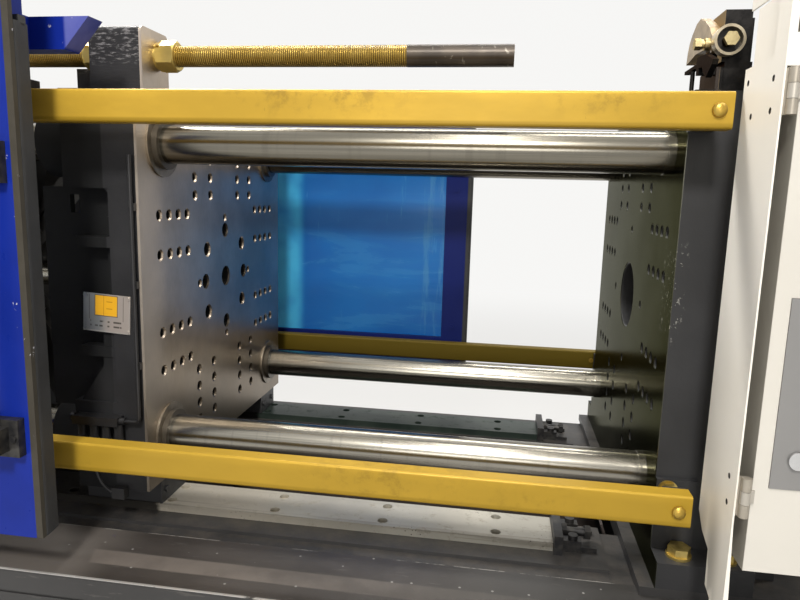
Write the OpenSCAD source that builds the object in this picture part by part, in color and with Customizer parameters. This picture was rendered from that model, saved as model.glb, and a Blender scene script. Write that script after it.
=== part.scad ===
// Injection moulding machine with a toggle clamp, 160 tonne class.
// X runs along the machine, from the clamp end to the injection end. The operator's side faces -Y. Z is up.
// The origin is on the floor, under the middle of the machine. Millimetres.

/* [Machine] */
// Length of the bed
machine_len = 4900; // [4860:10:5200]
// Height of the tie bars' centre above the floor
axis_height = 1180; // [1150:5:1260]
// Distance of the fixed mould face from the bed's middle, towards the clamp end
fixed_face_offset = 200; // [190:1:210]

/* [Clamp] */
// Width and height of the platens
platen_size = 690; // [680:1:694]
// Distance between the tie bars' centres
tie_bar_spacing = 525; // [520:1:528]
// Diameter of a tie bar
tie_bar_dia = 66; // [60:0.5:68]
// Distance between the mould faces with the clamp open
open_daylight = 850; // [840:1:860]
// Thickness of the moving platen's mould plate
mould_plate_t = 55; // [50:1:60]
// Thickness of the fixed platen's mould plate
fixed_plate_t = 70; // [60:1:75]
// Radial clearance between tie bars and bushes
bar_fit = 0.05; // [0.02:0.01:0.1]

/* [Mould fixing] */
// Diameter of the locating bore in the fixed platen
locating_dia = 125; // [100:1:126]
// Diameter of the tapped holes
tapped_dia = 16; // [12:1:16]
// Depth of the tapped holes
tapped_depth = 40; // [30:1:44]
// Pitch of the tapped holes across the platen
hole_pitch = 70; // [68:1:71]
// Step between the tapped holes outwards
hole_step = 35; // [34:0.5:35.5]
// Diameter of the middle ejector hole
ejector_dia = 43; // [36:1:44]
// Radius of the circle with the outer ejector holes
ejector_circle_r = 100; // [98:1:102]

/* [Toggle] */
// Length of a rear link between its pins
rear_link_len = 256; // [250:1:258]
// Length of a front link between its pins
front_link_len = 340; // [336:1:344]
// Angle of the rear link from the machine axis with the clamp open
rear_open_angle = 102; // [100:0.5:103]
// Height of the knee pins above and below the axis with the clamp open
knee_height = 39.6; // [38.6:0.1:42]
// Radius of the rear and front toggle pins
pin_r = 22; // [18:0.5:24]
// Radial running clearance at the pins
pin_fit = 0.05; // [0.02:0.01:0.08]
// Side gap between links that run past each other
side_gap = 0.3; // [0.2:0.1:0.5]
// Length of a crosshead link
cross_link_len = 130; // [128:1:134]

/* [Gates] */
// Height of a gate rail
rail_h = 48; // [40:1:52]
// Depth of a gate rail
rail_d = 30; // [24:1:32]
// Height of the front gate's top above the axis
gate_top = 560; // [520:5:600]
// Height of the rear gate's top above the axis
rear_gate_top = 425; // [410:5:440]
// Thickness of a gate
gate_t = 40; // [36:1:42]

/* [Injection] */
// Radius of the barrel
barrel_r = 48; // [40:1:50]
// Diameter of the screw
screw_dia = 42; // [36:1:44]
// Radius of the hopper
hopper_r = 190; // [160:5:200]
// Height of the hopper's rim above the axis
hopper_top = 780; // [700:10:800]

/* [Hidden] */
$fn = 48;
half = platen_size / 2;
bar_y = tie_bar_spacing / 2;
bar_r = tie_bar_dia / 2;
bed_x0 = -machine_len / 2 + fixed_face_offset;
bed_x1 = machine_len / 2 + fixed_face_offset;
floor_z = -axis_height;
bed_z = -403;
strip_z = -388;
mf = -open_daylight;
mp_back = mf - mould_plate_t;
front_pin_x = mf - 230;
open_span = rear_link_len * cos(rear_open_angle)
    + sqrt(pow(front_link_len, 2) - pow(rear_link_len * sin(rear_open_angle), 2));
rear_pin_x = front_pin_x - open_span;
knee_dx = rear_link_len * cos(rear_open_angle);
knee_dz = rear_link_len * sin(rear_open_angle);
pin_height = knee_height + knee_dz;
ejector_end = rear_pin_x + knee_dx + 60;
front_open_angle = asin(knee_dz / front_link_len);
third_r = 170;
third_a = 25;
third_dx = third_r * cos(rear_open_angle + third_a);
third_dz = third_r * sin(rear_open_angle + third_a);
cross_pin_z = 95;
cross_dz = pin_height - third_dz - cross_pin_z;
cross_dx = sqrt(pow(cross_link_len, 2) - pow(cross_dz, 2));
cross_angle = atan2(-cross_dz, -cross_dx);
cross_x = rear_pin_x + third_dx - cross_dx;
rp_face = rear_pin_x - 280;
rp_t = 160;
slab_c = 50;
slab_s0 = slab_c + side_gap;
slab_s1 = 90;
slab_o0 = slab_s1 + side_gap;
slab_o1 = 140;
rod_y = -262.5;
rod_z = 409;
rod_r = 17;
rail_y0 = -437;
rail_zu = 307;
rail_zl = -248;
rear_rail_y = 437;
rail_x0 = -1925;
rail_x1 = 31;
gate_y0 = -545;
gate_y1 = gate_y0 + gate_t;
gate_x1 = -907.5;
gate_x0 = -1900;

// Placement helpers
module on_axis() {
    translate([-fixed_face_offset, 0, axis_height]) children();
}
module box(x0, x1, y0, y1, z0, z1) {
    translate([x0, y0, z0]) cube([x1 - x0, y1 - y0, z1 - z0]);
}
module cyl_x(x0, x1, y, z, r) {
    translate([x0, y, z]) rotate([0, 90, 0]) cylinder(h = x1 - x0, r = r);
}
module cyl_y(y0, y1, x, z, r) {
    translate([x, y0, z]) rotate([-90, 0, 0]) cylinder(h = y1 - y0, r = r);
}
module cyl_z(z0, z1, x, y, r) {
    translate([x, y, z0]) cylinder(h = z1 - z0, r = r);
}
module hex_x(x0, x1, y, z, r) {
    translate([x0, y, z]) rotate([0, 90, 0]) cylinder(h = x1 - x0, r = r, $fn = 6);
}
module hex_y(y0, y1, x, z, r) {
    translate([x, y0, z]) rotate([-90, 0, 0]) cylinder(h = y1 - y0, r = r, $fn = 6);
}
module hex_z(z0, z1, x, y, r) {
    translate([x, y, z0]) cylinder(h = z1 - z0, r = r, $fn = 6);
}
// A side view drawn in x and z, given depth along y
module along_y(y0, y1) {
    translate([0, y1, 0]) rotate([90, 0, 0]) linear_extrude(y1 - y0) children();
}
// A front view drawn in y and z, given length along x
module along_x(x0, x1) {
    translate([x0, 0, 0]) rotate([90, 0, 90]) linear_extrude(x1 - x0) children();
}
module both_sides() {
    children();
    mirror([0, 1, 0]) children();
}
module top_and_bottom() {
    children();
    mirror([0, 0, 1]) children();
}
module round_box_x(x0, x1, y0, y1, z0, z1, r) {
    along_x(x0, x1) rounded(y0, y1, z0, z1, r);
}
module rounded(a0, a1, b0, b1, r) {
    translate([a0 + r, b0]) square([a1 - a0 - 2 * r, b1 - b0]);
    translate([a0, b0 + r]) square([a1 - a0, b1 - b0 - 2 * r]);
    for (a = [a0 + r, a1 - r]) for (b = [b0 + r, b1 - r]) translate([a, b]) circle(r, $fn = 24);
}

// Bed
module machine_bed() {
    color("#3b3c3f") on_axis() {
        both_sides() {
            difference() {
                box(bed_x0 + 60, bed_x1 - 60, 230, 330, floor_z + 100, bed_z - 18.3);
                for (x = [bed_x0 + 400 : 700 : bed_x1 - 700])
                    box(x, x + 380, 229, 310, floor_z + 260, bed_z - 140);
            }
            box(bed_x0 + 60, -56, 200, 376, bed_z - 18, bed_z - 6);
            box(bed_x0 + 60, -56, 205, 345, bed_z - 6, bed_z);
            box(-55.7, 230, 215, 376, bed_z - 18, bed_z - 6);
            box(-22, 230, 215, 376, bed_z - 6, bed_z + 12);
            box(-22, 230, 376, 400, bed_z - 2, bed_z + 12);
            box(bed_x0 + 60, bed_x1 - 60, 330.3, 400, floor_z + 100, floor_z + 160);
        }
        for (x = [bed_x0 + 60, -1760, 60, 260, bed_x1 - 1350, bed_x1 - 180])
            box(x, x + 120, -229.7, 229.7, floor_z + 100, bed_z - 18.3);
        box(-22, 230, -214.7, 214.7, bed_z - 18, bed_z + 12);
        box(230.3, bed_x1 - 60, -376, 376, bed_z - 18, bed_z - 6);
    }
}

// Sheet panels around the bed: a front apron under the gate and a lower shelf at the rear
module bed_covers() {
    color("#4a4b4e") on_axis() {
        box(bed_x0, bed_x1, -520, -376.3, bed_z - 5, bed_z - 2);
        difference() {
            box(bed_x0, bed_x1, -520, -517, floor_z + 93.3, bed_z - 5.3);
            for (x = [-1600, -800, 0, 800, 1600])
                box(x - 2, x + 2, -521, -518, floor_z + 95, bed_z - 40);
            box(bed_x0 + 30, bed_x1 - 30, -521, -518, bed_z - 42, bed_z - 38);
        }
        box(bed_x0, bed_x1, -520, -470, floor_z + 90, floor_z + 93);
        box(bed_x0, bed_x1, 330.3, 595, -563, -560);
        box(bed_x0, bed_x1, 592, 595, floor_z + 93.3, -563.3);
        box(bed_x0, bed_x1, 545, 595, floor_z + 90, floor_z + 93);
        for (x = [bed_x0, bed_x1 - 3]) {
            box(x, x + 3, -516.7, 591.7, floor_z + 93.3, -563.3);
            box(x, x + 3, -516.7, 330, -563, bed_z - 18.3);
        }
        for (x = [bed_x0 + 3.3, bed_x1 - 63.3]) both_sides()
            box(x, x + 60, 330.3, 500, floor_z + 200, floor_z + 230);
        for (x = [-2000, -1200, -400, 400, 1200, 2000]) {
            box(x, x + 30, -516.7, -376.6, bed_z - 60, bed_z - 5.3);
            box(x, x + 30, -376.3, -330.3, bed_z - 60, bed_z - 18.3);
            box(x, x + 30, -516.7, -330.3, floor_z + 170, floor_z + 200);
            box(x, x + 30, 330.3, 591.7, floor_z + 170, floor_z + 200);
        }
    }
}

// Screw feet under the bed
module levelling_feet() {
    color("#8d8f92") on_axis()
        for (x = [bed_x0 + 160, -1250, -300, 700, 1650, bed_x1 - 160]) both_sides() {
            cyl_z(floor_z, floor_z + 24, x, 280, 70);
            cyl_z(floor_z + 24, floor_z + 40, x, 280, 34);
            cyl_z(floor_z + 40, floor_z + 100, x, 280, 15);
            hex_z(floor_z + 62, floor_z + 78, x, 280, 26);
        }
}

// Hardened strips that carry the moving platen
module slide_strips() {
    color("#b9b6ad") on_axis() both_sides() difference() {
        box(-1500, -143, 212, 302, bed_z, strip_z);
        for (x = [-1440 : 200 : -200]) for (y = [230, 284]) {
            cyl_z(bed_z - 1, strip_z + 1, x, y, 5.5);
            cyl_z(strip_z - 8, strip_z + 1, x, y, 9);
        }
    }
}

// Stops behind the strips' ends, with set screws towards the fixed platen
module strip_stops() {
    color("#3a3a3c") on_axis() both_sides() {
        difference() {
            union() {
                box(-142.7, -128, 208, 314, bed_z, bed_z + 33);
                box(-128, -96, 222, 240, bed_z, bed_z + 20);
                box(-128, -96, 282, 300, bed_z, bed_z + 20);
            }
            cyl_x(-143, -127, 262, bed_z + 19, 7.05);
        }
        cyl_x(-142.7, -88, 262, bed_z + 19, 7);
        hex_x(-128, -118, 262, bed_z + 19, 13);
        hex_x(-88, -78, 262, bed_z + 19, 13);
        for (y = [231, 291]) {
            cyl_z(bed_z + 20, bed_z + 28, -110, y, 8);
            box(-96, -70, y - 5, y + 5, bed_z, bed_z + 8);
        }
    }
}

// Chute below the mould that lets the parts fall to the rear
module drop_chute() {
    color("#4a4038") on_axis() {
        along_y(-199.2, 199.2) polygon([[-50, bed_z + 4], [-46, bed_z + 4], [36, -640], [32, -640]]);
        along_y(-199.2, 199.2) polygon([[-1010, bed_z - 20], [-1004, bed_z - 20], [-904, -640], [-910, -640]]);
        both_sides() along_y(199.5, 202.5) polygon([[-1010, bed_z - 20], [-58, bed_z - 20], [-20, bed_z - 90],
            [20, -640], [-910, -640]]);
        along_x(-900, -2) polygon([[-199.2, -560], [-199.2, -563], [199.2, -700], [199.2, -697]]);
        both_sides() for (x = [-900, -200]) box(x, x + 40, 202.5, 230, -560, -520);
    }
}

// Pattern of the tapped mould fixing holes, as cutters behind a face at x = 0 that looks along +X
module tapped_hole(y, z, r, depth) {
    translate([0, y, z]) rotate([0, -90, 0]) cylinder(h = depth, r = r);
    translate([0.01, y, z]) rotate([0, -90, 0]) cylinder(h = 2.5, r1 = r + 2.5, r2 = r);
}
module mould_holes() {
    for (sy = [-1, 1]) for (sz = [-1, 1]) for (i = [1, 2]) for (j = [0 : 3]) {
        tapped_hole(sy * i * hole_pitch, sz * (175 + j * hole_step), tapped_dia / 2, tapped_depth);
        tapped_hole(sy * (175 + j * hole_step), sz * i * hole_pitch, tapped_dia / 2, tapped_depth);
    }
}
module bar_holes(x0, x1, r) {
    for (y = [-bar_y, bar_y]) for (z = [-bar_y, bar_y]) cyl_x(x0, x1, y, z, r);
}

// Fixed platen with locating bore, nozzle cone, ribs and foot
module fixed_platen() {
    color("#47484a") on_axis() difference() {
        union() {
            box(0, fixed_plate_t, -half, half, -half, half);
            for (y = [-1, 1]) for (z = [-1, 1])
                translate([0, y * (half - 82.5), z * (half - 82.5)])
                    box(fixed_plate_t - 5, 190, -82.5, 82.5, -82.5, 82.5);
            cyl_x(fixed_plate_t - 5, 190, 0, 0, 165);
            box(fixed_plate_t - 5, 175, -half + 20, half - 20, -22, 22);
            box(fixed_plate_t - 5, 175, -22, 22, -half + 20, half - 20);
            for (s = [-1, 1]) rotate([s * 45, 0, 0]) box(fixed_plate_t - 5, 160, -290, 290, -18, 18);
            box(0, 190, -half, half, bed_z + 12, -half);
            guard_ears();
            both_sides() {
                box(0, 140, half, half + 55, bed_z + 12, -350);
                box(0, 62, half, half + 8, -350, -236);
            }
        }
        bar_holes(-1, 191, bar_r + bar_fit);
        cyl_x(-1, 61, 0, 0, locating_dia / 2);
        translate([-0.01, 0, 0]) rotate([0, 90, 0])
            cylinder(h = 3, r1 = locating_dia / 2 + 3, r2 = locating_dia / 2);
        translate([60, 0, 0]) rotate([0, 90, 0]) cylinder(h = 131, r1 = 60, r2 = 132);
        mirror([1, 0, 0]) {
            mould_holes();
            for (a = [0 : 90 : 270]) tapped_hole(130 * cos(a), 130 * sin(a), 6, 25);
        }
    }
}

// Zinc plated hex bolts on the fixed platen and its foot
module frame_bolts() {
    color("#c9a24a") on_axis() both_sides() {
        for (x = [38, 104]) {
            cyl_z(-350, -346, x, 372, 19);
            hex_z(-346, -334, x, 372, 17.3);
        }
        hex_y(half + 8, half + 20, 18, -252, 14);
        cyl_y(half + 8, half + 11, 18, -252, 15);
    }
}

// Moving platen: ribbed casting with a machined mould face
module moving_platen() {
    color("#47484a") on_axis() difference() {
        union() {
            box(mp_back, mf, -half, half, -half, half);
            for (y = [-1, 1]) for (z = [-1, 1])
                translate([0, y * (half - 80), z * (half - 80)])
                    box(mp_back - 80, mp_back, -80, 80, -80, 80);
            bar_holes(mf - 200, mp_back - 80, 60);
            difference() {
                box(mf - 180, mp_back, -150, 150, -120, 120);
                box(mf - 181, mp_back - 25, -120, 120, -42, 42);
            }
            top_and_bottom() both_sides() {
                box(front_pin_x, mp_back, slab_s0, slab_s1, pin_height - 45, pin_height + 45);
                cyl_y(slab_s0, slab_s1, front_pin_x, pin_height, 45);
                cyl_y(slab_s1, slab_s1 + 10, front_pin_x, pin_height, pin_r);
                box(mf - 180, mp_back, slab_s0, slab_s1, 120, pin_height - 45);
                box(mp_back - 66, mp_back, 150, half - 3, 86, 104);
            }
            both_sides() along_y(-half + 5, -half + 45)
                polygon([[mp_back + 1, -56], [mp_back - 22, -56], [mp_back - 25, -121], [mp_back - 70, -186],
                    [mp_back - 72, -205], [mp_back + 1, -205]]);
            platen_side_web();
            along_x(mf - 93, mf) rounded(-319, -231, half - 20, 448, 9);
            box(mf - 180, mf - 93.3, -225, -70, half - 1, 396);
        }
        bar_holes(mf - 201, mf + 1, bar_r + bar_fit);
        cyl_x(mf - 94, mf + 1, rod_y, rod_z, rod_r + 0.3);
        translate([mf, 0, 0]) {
            mould_holes();
            cyl_x(-81, 1, 0, 0, ejector_dia / 2);
            for (a = [0 : 90 : 270]) {
                cyl_x(-60, 1, ejector_circle_r * cos(a), ejector_circle_r * sin(a), 15.5);
                tapped_hole(127.5 * cos(a), 127.5 * sin(a), 6, 25);
            }
            for (y = [-90, 90]) for (z = [-65, 65]) cyl_x(-50, 1, y, z, 13);
            for (y = [-90, 90]) for (z = [-65, 65]) translate([-2.49, y, z]) rotate([0, 90, 0])
                cylinder(h = 2.5, r1 = 13, r2 = 15.5);
        }
    }
}

// Web behind the mould plate on each side, with a small window, a rounded corner and a low step
module platen_side_web() {
    both_sides() {
        difference() {
            box(mp_back - 140, mp_back + 1, -half + 30, -half + 42, -204, 186);
            box(mf - 144, mf - 127, -half + 29, -half + 43, 142, 173);
        }
        difference() {
            box(mp_back - 14, mp_back + 1, -half + 3, -half + 31, 171, 186);
            cyl_y(-half + 2, -half + 32, mp_back - 14, 171, 14);
        }
        box(mp_back - 14, mp_back + 1, -half + 16, -half + 31, -57, 138);
    }
}

// Shoes that carry the moving platen on the strips, with scraper plates
module platen_shoes() {
    color("#56575a") on_axis() both_sides() {
        box(mf - 150, mf - 4, 214, 300, strip_z + 0.3, -half);
        box(mf - 4, mf, 210, 304, strip_z + 0.3, -half);
        for (y = [228, 286]) cyl_x(mf, mf + 4, y, -366, 6);
    }
}

// Bush flanges and wiper rings where the tie bars enter the moving platen
module tie_bar_wipers() {
    color("#8f9092") on_axis() for (y = [-bar_y, bar_y]) for (z = [-bar_y, bar_y]) difference() {
        union() {
            cyl_x(mf, mf + 4, y, z, 56);
            cyl_x(mf + 4, mf + 13, y, z, 43);
        }
        cyl_x(mf - 1, mf + 14, y, z, bar_r + bar_fit);
    }
}

// Rear platen with the toggle lugs and their fixed pins
module rear_platen() {
    color("#47484a") on_axis() difference() {
        union() {
            box(rp_face - rp_t, rp_face, -half, half, -half, half);
            top_and_bottom() both_sides() {
                box(rp_face, rear_pin_x, slab_o0, slab_o1, pin_height - 45, pin_height + 45);
                cyl_y(slab_o0, slab_o1, rear_pin_x, pin_height, 45);
                along_y(slab_o0, slab_o1) polygon([[rp_face, 40], [rp_face + 60, 120],
                    [rp_face + 60, pin_height - 45], [rp_face, pin_height - 45]]);
            }
            top_and_bottom() cyl_y(-slab_o1 - 8, slab_o1 + 8, rear_pin_x, pin_height, pin_r);
            both_sides() box(rp_face - rp_t, rp_face, 212, 302, bed_z, -half);
        }
        bar_holes(rp_face - rp_t - 1, rp_face + 1, bar_r + bar_fit);
        cyl_x(rp_face - rp_t - 1, rp_face + 1, 0, 0, 70);
        for (y = [-200, 200]) cyl_x(rp_face - rp_t - 1, rp_face + 1, y, 0, 60);
    }
}

// Four chromed tie bars with a collar in front of the fixed platen
module tie_bars() {
    color("#b8bcc0") on_axis() for (y = [-bar_y, bar_y]) for (z = [-bar_y, bar_y]) {
        cyl_x(rp_face - rp_t - 110, 262, y, z, bar_r);
        cyl_x(-12, -0.2, y, z, bar_r + 1.5);
    }
}
module tie_bar_nuts() {
    color("#6c6d70") on_axis() for (y = [-bar_y, bar_y]) for (z = [-bar_y, bar_y]) {
        difference() {
            union() {
                cyl_x(190, 245, y, z, 52);
                cyl_x(rp_face - rp_t - 60, rp_face - rp_t, y, z, 58);
                cyl_x(rp_face - rp_t - 42, rp_face - rp_t - 20, y, z, 72);
            }
            cyl_x(189, 246, y, z, bar_r);
            cyl_x(rp_face - rp_t - 61, rp_face - rp_t + 1, y, z, bar_r);
            for (a = [0 : 60 : 300]) {
                cyl_x(230, 246, y + 43 * cos(a), z + 43 * sin(a), 5);
                cyl_x(rp_face - rp_t - 61, rp_face - rp_t - 19, y + 64 * cos(a), z + 64 * sin(a), 5);
            }
        }
    }
}

// Toggle links, drawn along +X from their rear pin
module rear_link() {
    difference() {
        union() {
            both_sides() along_y(slab_s0, slab_s1) {
                circle(42);
                translate([rear_link_len, 0]) circle(34);
                translate([third_r * cos(third_a), -third_r * sin(third_a)]) circle(28);
                polygon([[0, 42], [rear_link_len, 34], [rear_link_len + 8, -33], [third_r * cos(third_a) + 14,
                    -third_r * sin(third_a) - 24], [third_r * cos(third_a) - 14,
                    -third_r * sin(third_a) - 24], [-8, -41]]);
            }
            cyl_y(-slab_s0, slab_s0, 0, 0, 40);
        }
        cyl_y(-slab_o1, slab_o1, 0, 0, pin_r + pin_fit);
    }
    cyl_y(-slab_s1 - 8, slab_s1 + 8, rear_link_len, 0, 18);
    cyl_y(-slab_s1 - 8, slab_s1 + 8, third_r * cos(third_a), -third_r * sin(third_a), 12);
}
module front_link() {
    difference() {
        along_y(-slab_c, slab_c) {
            circle(34);
            translate([front_link_len, 0]) circle(40);
            polygon([[0, 30], [front_link_len, 32], [front_link_len, -32], [0, -30]]);
        }
        cyl_y(-slab_c - 1, slab_c + 1, 0, 0, 18 + pin_fit);
        both_sides() along_y(slab_c - 8, slab_c + 1)
            polygon([[70, 14], [front_link_len - 70, 16], [front_link_len - 70, -16], [70, -14]]);
    }
}
module cross_link() {
    difference() {
        along_y(-40, 40) {
            circle(24);
            translate([cross_link_len, 0]) circle(24);
            translate([0, -17]) square([cross_link_len, 34]);
        }
        cyl_y(-41, 41, 0, 0, 12 + pin_fit);
    }
}
module rear_link_upper() {
    color("#75706a") on_axis() translate([rear_pin_x, 0, pin_height])
        rotate([0, rear_open_angle, 0]) rear_link();
}
module rear_link_lower() {
    color("#75706a") on_axis() mirror([0, 0, 1]) translate([rear_pin_x, 0, pin_height])
        rotate([0, rear_open_angle, 0]) rear_link();
}
module front_link_upper() {
    color("#7d7871") on_axis() translate([rear_pin_x + knee_dx, 0, pin_height - knee_dz])
        rotate([0, -front_open_angle, 0]) front_link();
}
module front_link_lower() {
    color("#7d7871") on_axis() mirror([0, 0, 1])
        translate([rear_pin_x + knee_dx, 0, pin_height - knee_dz])
        rotate([0, -front_open_angle, 0]) front_link();
}
module cross_link_upper() {
    color("#7d7871") on_axis() translate([rear_pin_x + third_dx, 0, pin_height - third_dz])
        rotate([0, -cross_angle, 0]) cross_link();
}
module cross_link_lower() {
    color("#7d7871") on_axis() mirror([0, 0, 1])
        translate([rear_pin_x + third_dx, 0, pin_height - third_dz])
        rotate([0, -cross_angle, 0]) cross_link();
}

// Crosshead with the clamp piston rod
module crosshead() {
    color("#6a6660") on_axis() {
        difference() {
            union() {
                box(cross_x - 58, cross_x + 38, -145, 145, -34, 34);
                top_and_bottom() both_sides() {
                    box(cross_x - 26, cross_x + 26, slab_s0, slab_s1 - 4, 34, cross_pin_z);
                    cyl_y(slab_s0, slab_s1 - 4, cross_x, cross_pin_z, 26);
                    cyl_y(slab_s1 - 4, slab_s1 + 6, cross_x, cross_pin_z, 12);
                }
            }
            both_sides() cyl_x(cross_x - 59, cross_x + 39, 120, 0, 20.05);
            box(cross_x - 24, cross_x + 39, -42, 42, -35, 35);
        }
        cyl_x(-2115, cross_x - 58, 0, 0, 28);
        cyl_x(-2110, -2075, 0, 0, 57);
    }
}
module crosshead_guides() {
    color("#b8bcc0") on_axis() both_sides() cyl_x(rp_face, -1092, 120, 0, 20);
}
module clamp_cylinder() {
    color("#3a3b3d") on_axis() {
        x1 = rp_face - rp_t;
        difference() {
            union() {
                cyl_x(-2150, x1, 0, 0, 78);
                box(x1 - 34, x1, -110, 110, -110, 110);
                cyl_x(-2150, -2122, 0, 0, 92);
                box(-1800, -1740, -24, 24, 70, 100);
                box(-2110, -2050, -24, 24, 70, 100);
            }
            cyl_x(-2124, x1 - 40, 0, 0, 57.06);
            cyl_x(x1 - 41, x1 + 1, 0, 0, 28.05);
        }
        for (y = [-90, 90]) for (z = [-90, 90]) hex_x(x1 - 46, x1 - 34, y, z, 15);
    }
}

// Ejector
module ejector_unit() {
    color("#3f4043") on_axis() {
        for (z = [-58, 58]) cyl_x(ejector_end + 60, mf - 180, 0, z, 10);
        difference() {
            union() {
                box(ejector_end + 55, ejector_end + 70, -32, 32, -72, 72);
                cyl_x(ejector_end, ejector_end + 56, 0, 0, 30);
            }
            cyl_x(ejector_end + 8, ejector_end + 71, 0, 0, 12.05);
        }
    }
}
module ejector_plate() {
    color("#8f9092") on_axis() {
        difference() {
            box(ejector_end + 85, ejector_end + 100, -80, 80, -74, 74);
            for (z = [-58, 58]) cyl_x(ejector_end + 84, ejector_end + 101, 0, z, 10.05);
        }
        cyl_x(ejector_end + 15, ejector_end + 86, 0, 0, 12);
        cyl_x(ejector_end + 99, mf - 40, 0, 0, 15);
        for (y = [-60, 60]) cyl_x(ejector_end + 99, mf - 190, y, 0, 9);
    }
}

// Safety rod on top of the moving platen, with its slotted nuts
module safety_rod() {
    color("#c79a3a") on_axis() {
        cyl_x(-1480, -420, rod_y, rod_z, rod_r);
        cyl_x(-420, -250, rod_y, rod_z, rod_r + 0.4);
        for (x = [mf, mf - 93 - 36]) difference() {
            union() {
                cyl_x(x + 0.01, x + 8, rod_y, rod_z, 22.5);
                intersection() {
                    hex_x(x + 4, x + 36, rod_y, rod_z, 26.5);
                    translate([x + 4, rod_y, rod_z]) rotate([90, 0, 90]) rotate_extrude($fn = 64)
                        polygon([[0, 0], [23.5, 0], [26.5, 2], [26.5, 29], [22.5, 32], [0, 32]]);
                }
            }
            cyl_x(x - 1, x + 37, rod_y, rod_z, rod_r);
            translate([x, rod_y, rod_z]) for (a = [60, 180, 300]) rotate([a, 0, 0])
                box(-1, 12, -2.5, 2.5, 20, 30);
        }
    }
}

// Drop latch on top of the fixed platen: the rod passes through it when the clamp closes
module latch_bracket() {
    color("#26262a") on_axis() difference() {
        union() {
            box(47, 84, -305, -222, 391, 463);
            box(52, 90, -305, -222, half, 391);
            box(14, 110, -312, -214, half, half + 6);
            box(42, 52, -304, -222, half + 6, 384);
            box(84, 92, -290, -236, 391, 455);
            along_x(18, 26) polygon([[-368, 383], [-330, 397], [-290, 400], [-284, 391], [-222, 391],
                [-222, 386], [-276, 386], [-318, 381], [-324, 373], [-340, 363], [-364, 377]]);
            box(26, 42, -300, -288, 374, 384);
            box(18, 26, -300, -288, 374, 388);
            cyl_z(half + 6, 388, 21.6, -257, 3.3);
            cyl_x(21, 47, -287, 419, 5);
            hex_x(12, 21, -287, 419, 8.5);
            cyl_x(21, 24, -287, 419, 7);
            cyl_x(26, 32.7, -287, 419, 8.9);
            cyl_y(-325, -305, 50.8, 418, 8);
            hex_y(-333, -325, 50.8, 418, 10.5);
        }
        cyl_x(40, 93, rod_y, rod_z, 22);
    }
}
// Lever that drops in front of the rod while the gate is open
module latch_lever() {
    color("#b99a6a") on_axis() difference() {
        along_x(33, 46.7) polygon([[-230, 469], [-209, 466], [-187, 453], [-176, 443], [-169, 429],
            [-166, 411], [-217, 418], [-268, 416], [-279, 413.6], [-283.5, 411.5], [-288, 410.8],
            [-293, 410], [-298, 404], [-302, 406], [-302, 425], [-281, 445], [-257, 458]]);
        cyl_x(32, 48, -287, 419, 5.05);
    }
}
module latch_roller() {
    color("#b9a888") on_axis() difference() {
        cyl_y(-324.6, -308.9, 50.8, 418, 21.4);
        cyl_y(-326, -308, 50.8, 418, 8.05);
        cyl_y(-326, -313, 50.8, 418, 17.6);
    }
}

// Gate rails: rectangular tubes along both sides
module gate_rails() {
    color("#c69a2f") on_axis() {
        for (z = [rail_zu, rail_zl]) difference() {
            round_box_x(rail_x0, rail_x1, rail_y0, rail_y0 + rail_d, z - rail_h / 2, z + rail_h / 2, 4);
            box(rail_x0 - 1, rail_x1 + 1, rail_y0 + 3, rail_y0 + rail_d - 3, z - rail_h / 2 + 3,
                z + rail_h / 2 - 3);
        }
        for (z = [rail_zu, rail_zl]) difference() {
            round_box_x(rail_x0, rail_x1, rear_rail_y, rear_rail_y + rail_d, z - rail_h / 2,
                z + rail_h / 2, 4);
            box(rail_x0 - 1, rail_x1 + 1, rear_rail_y + 3, rear_rail_y + rail_d - 3,
                z - rail_h / 2 + 3, z + rail_h / 2 - 3);
        }
    }
}
module rail_brackets() {
    color("#37383b") on_axis() {
        for (z = [rail_zu, rail_zl]) {
            box(rp_face - 90, rp_face - 50, rail_y0 + rail_d, -half, z - 20, z + 20);
            box(rp_face - 90, rp_face - 50, half, rear_rail_y, z - 20, z + 20);
        }
        box(-2, 30, rail_y0 + rail_d, -half, rail_zu - 20, rail_zu + 20);
        box(10, 30, half, rear_rail_y, rail_zu - 20, rail_zu + 20);
        box(-2, 30, rail_y0 + rail_d, -half - 8, rail_zl - 36, rail_zl - 20);
        box(-2, 30, rail_y0 + rail_d, rail_y0 + rail_d + 10, rail_zl - 36, rail_zl + 20);
        box(10, 30, half + 8, rear_rail_y, rail_zl - 36, rail_zl - 20);
        box(10, 30, rear_rail_y - 10, rear_rail_y, rail_zl - 36, rail_zl + 20);
        x = -1900;
        box(x, x + 40, -376, -half - 0.3, bed_z - 6, bed_z + 43);
        box(x, x + 40, rail_y0 + rail_d, -half - 0.3, bed_z + 3, bed_z + 43);
        box(x, x + 40, rail_y0 + rail_d, rail_y0 + rail_d + 6, bed_z + 3, rail_zu + 20);
        box(x, x + 40, half + 0.3, 376, bed_z - 6, bed_z + 43);
        box(x, x + 40, half + 0.3, rear_rail_y, bed_z + 3, bed_z + 43);
        box(x, x + 40, rear_rail_y - 6, rear_rail_y, bed_z + 3, rail_zu + 20);
    }
}
// Dome head bolts through the rails
module dome_bolt(x, y, z) {
    translate([x, y, z]) rotate([90, 0, 0]) rotate_extrude($fn = 32)
        polygon([[0, 0], [9.5, 0], [9.5, 2.5], [8.6, 4.6], [6.6, 6.4], [3.6, 7.6], [0, 8]]);
}
module rail_bolts() {
    color("#c69a2f") on_axis() {
        for (x = [13, -1880]) for (z = [rail_zu, rail_zl]) {
            dome_bolt(x, rail_y0, z);
            mirror([0, 1, 0]) dome_bolt(x, -rear_rail_y - rail_d, z);
        }
        for (z = [rail_zu, rail_zl]) translate([4, rear_rail_y, z]) rotate([90, 0, 0])
            cylinder(h = 3, r = 6, $fn = 24);
    }
}

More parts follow.
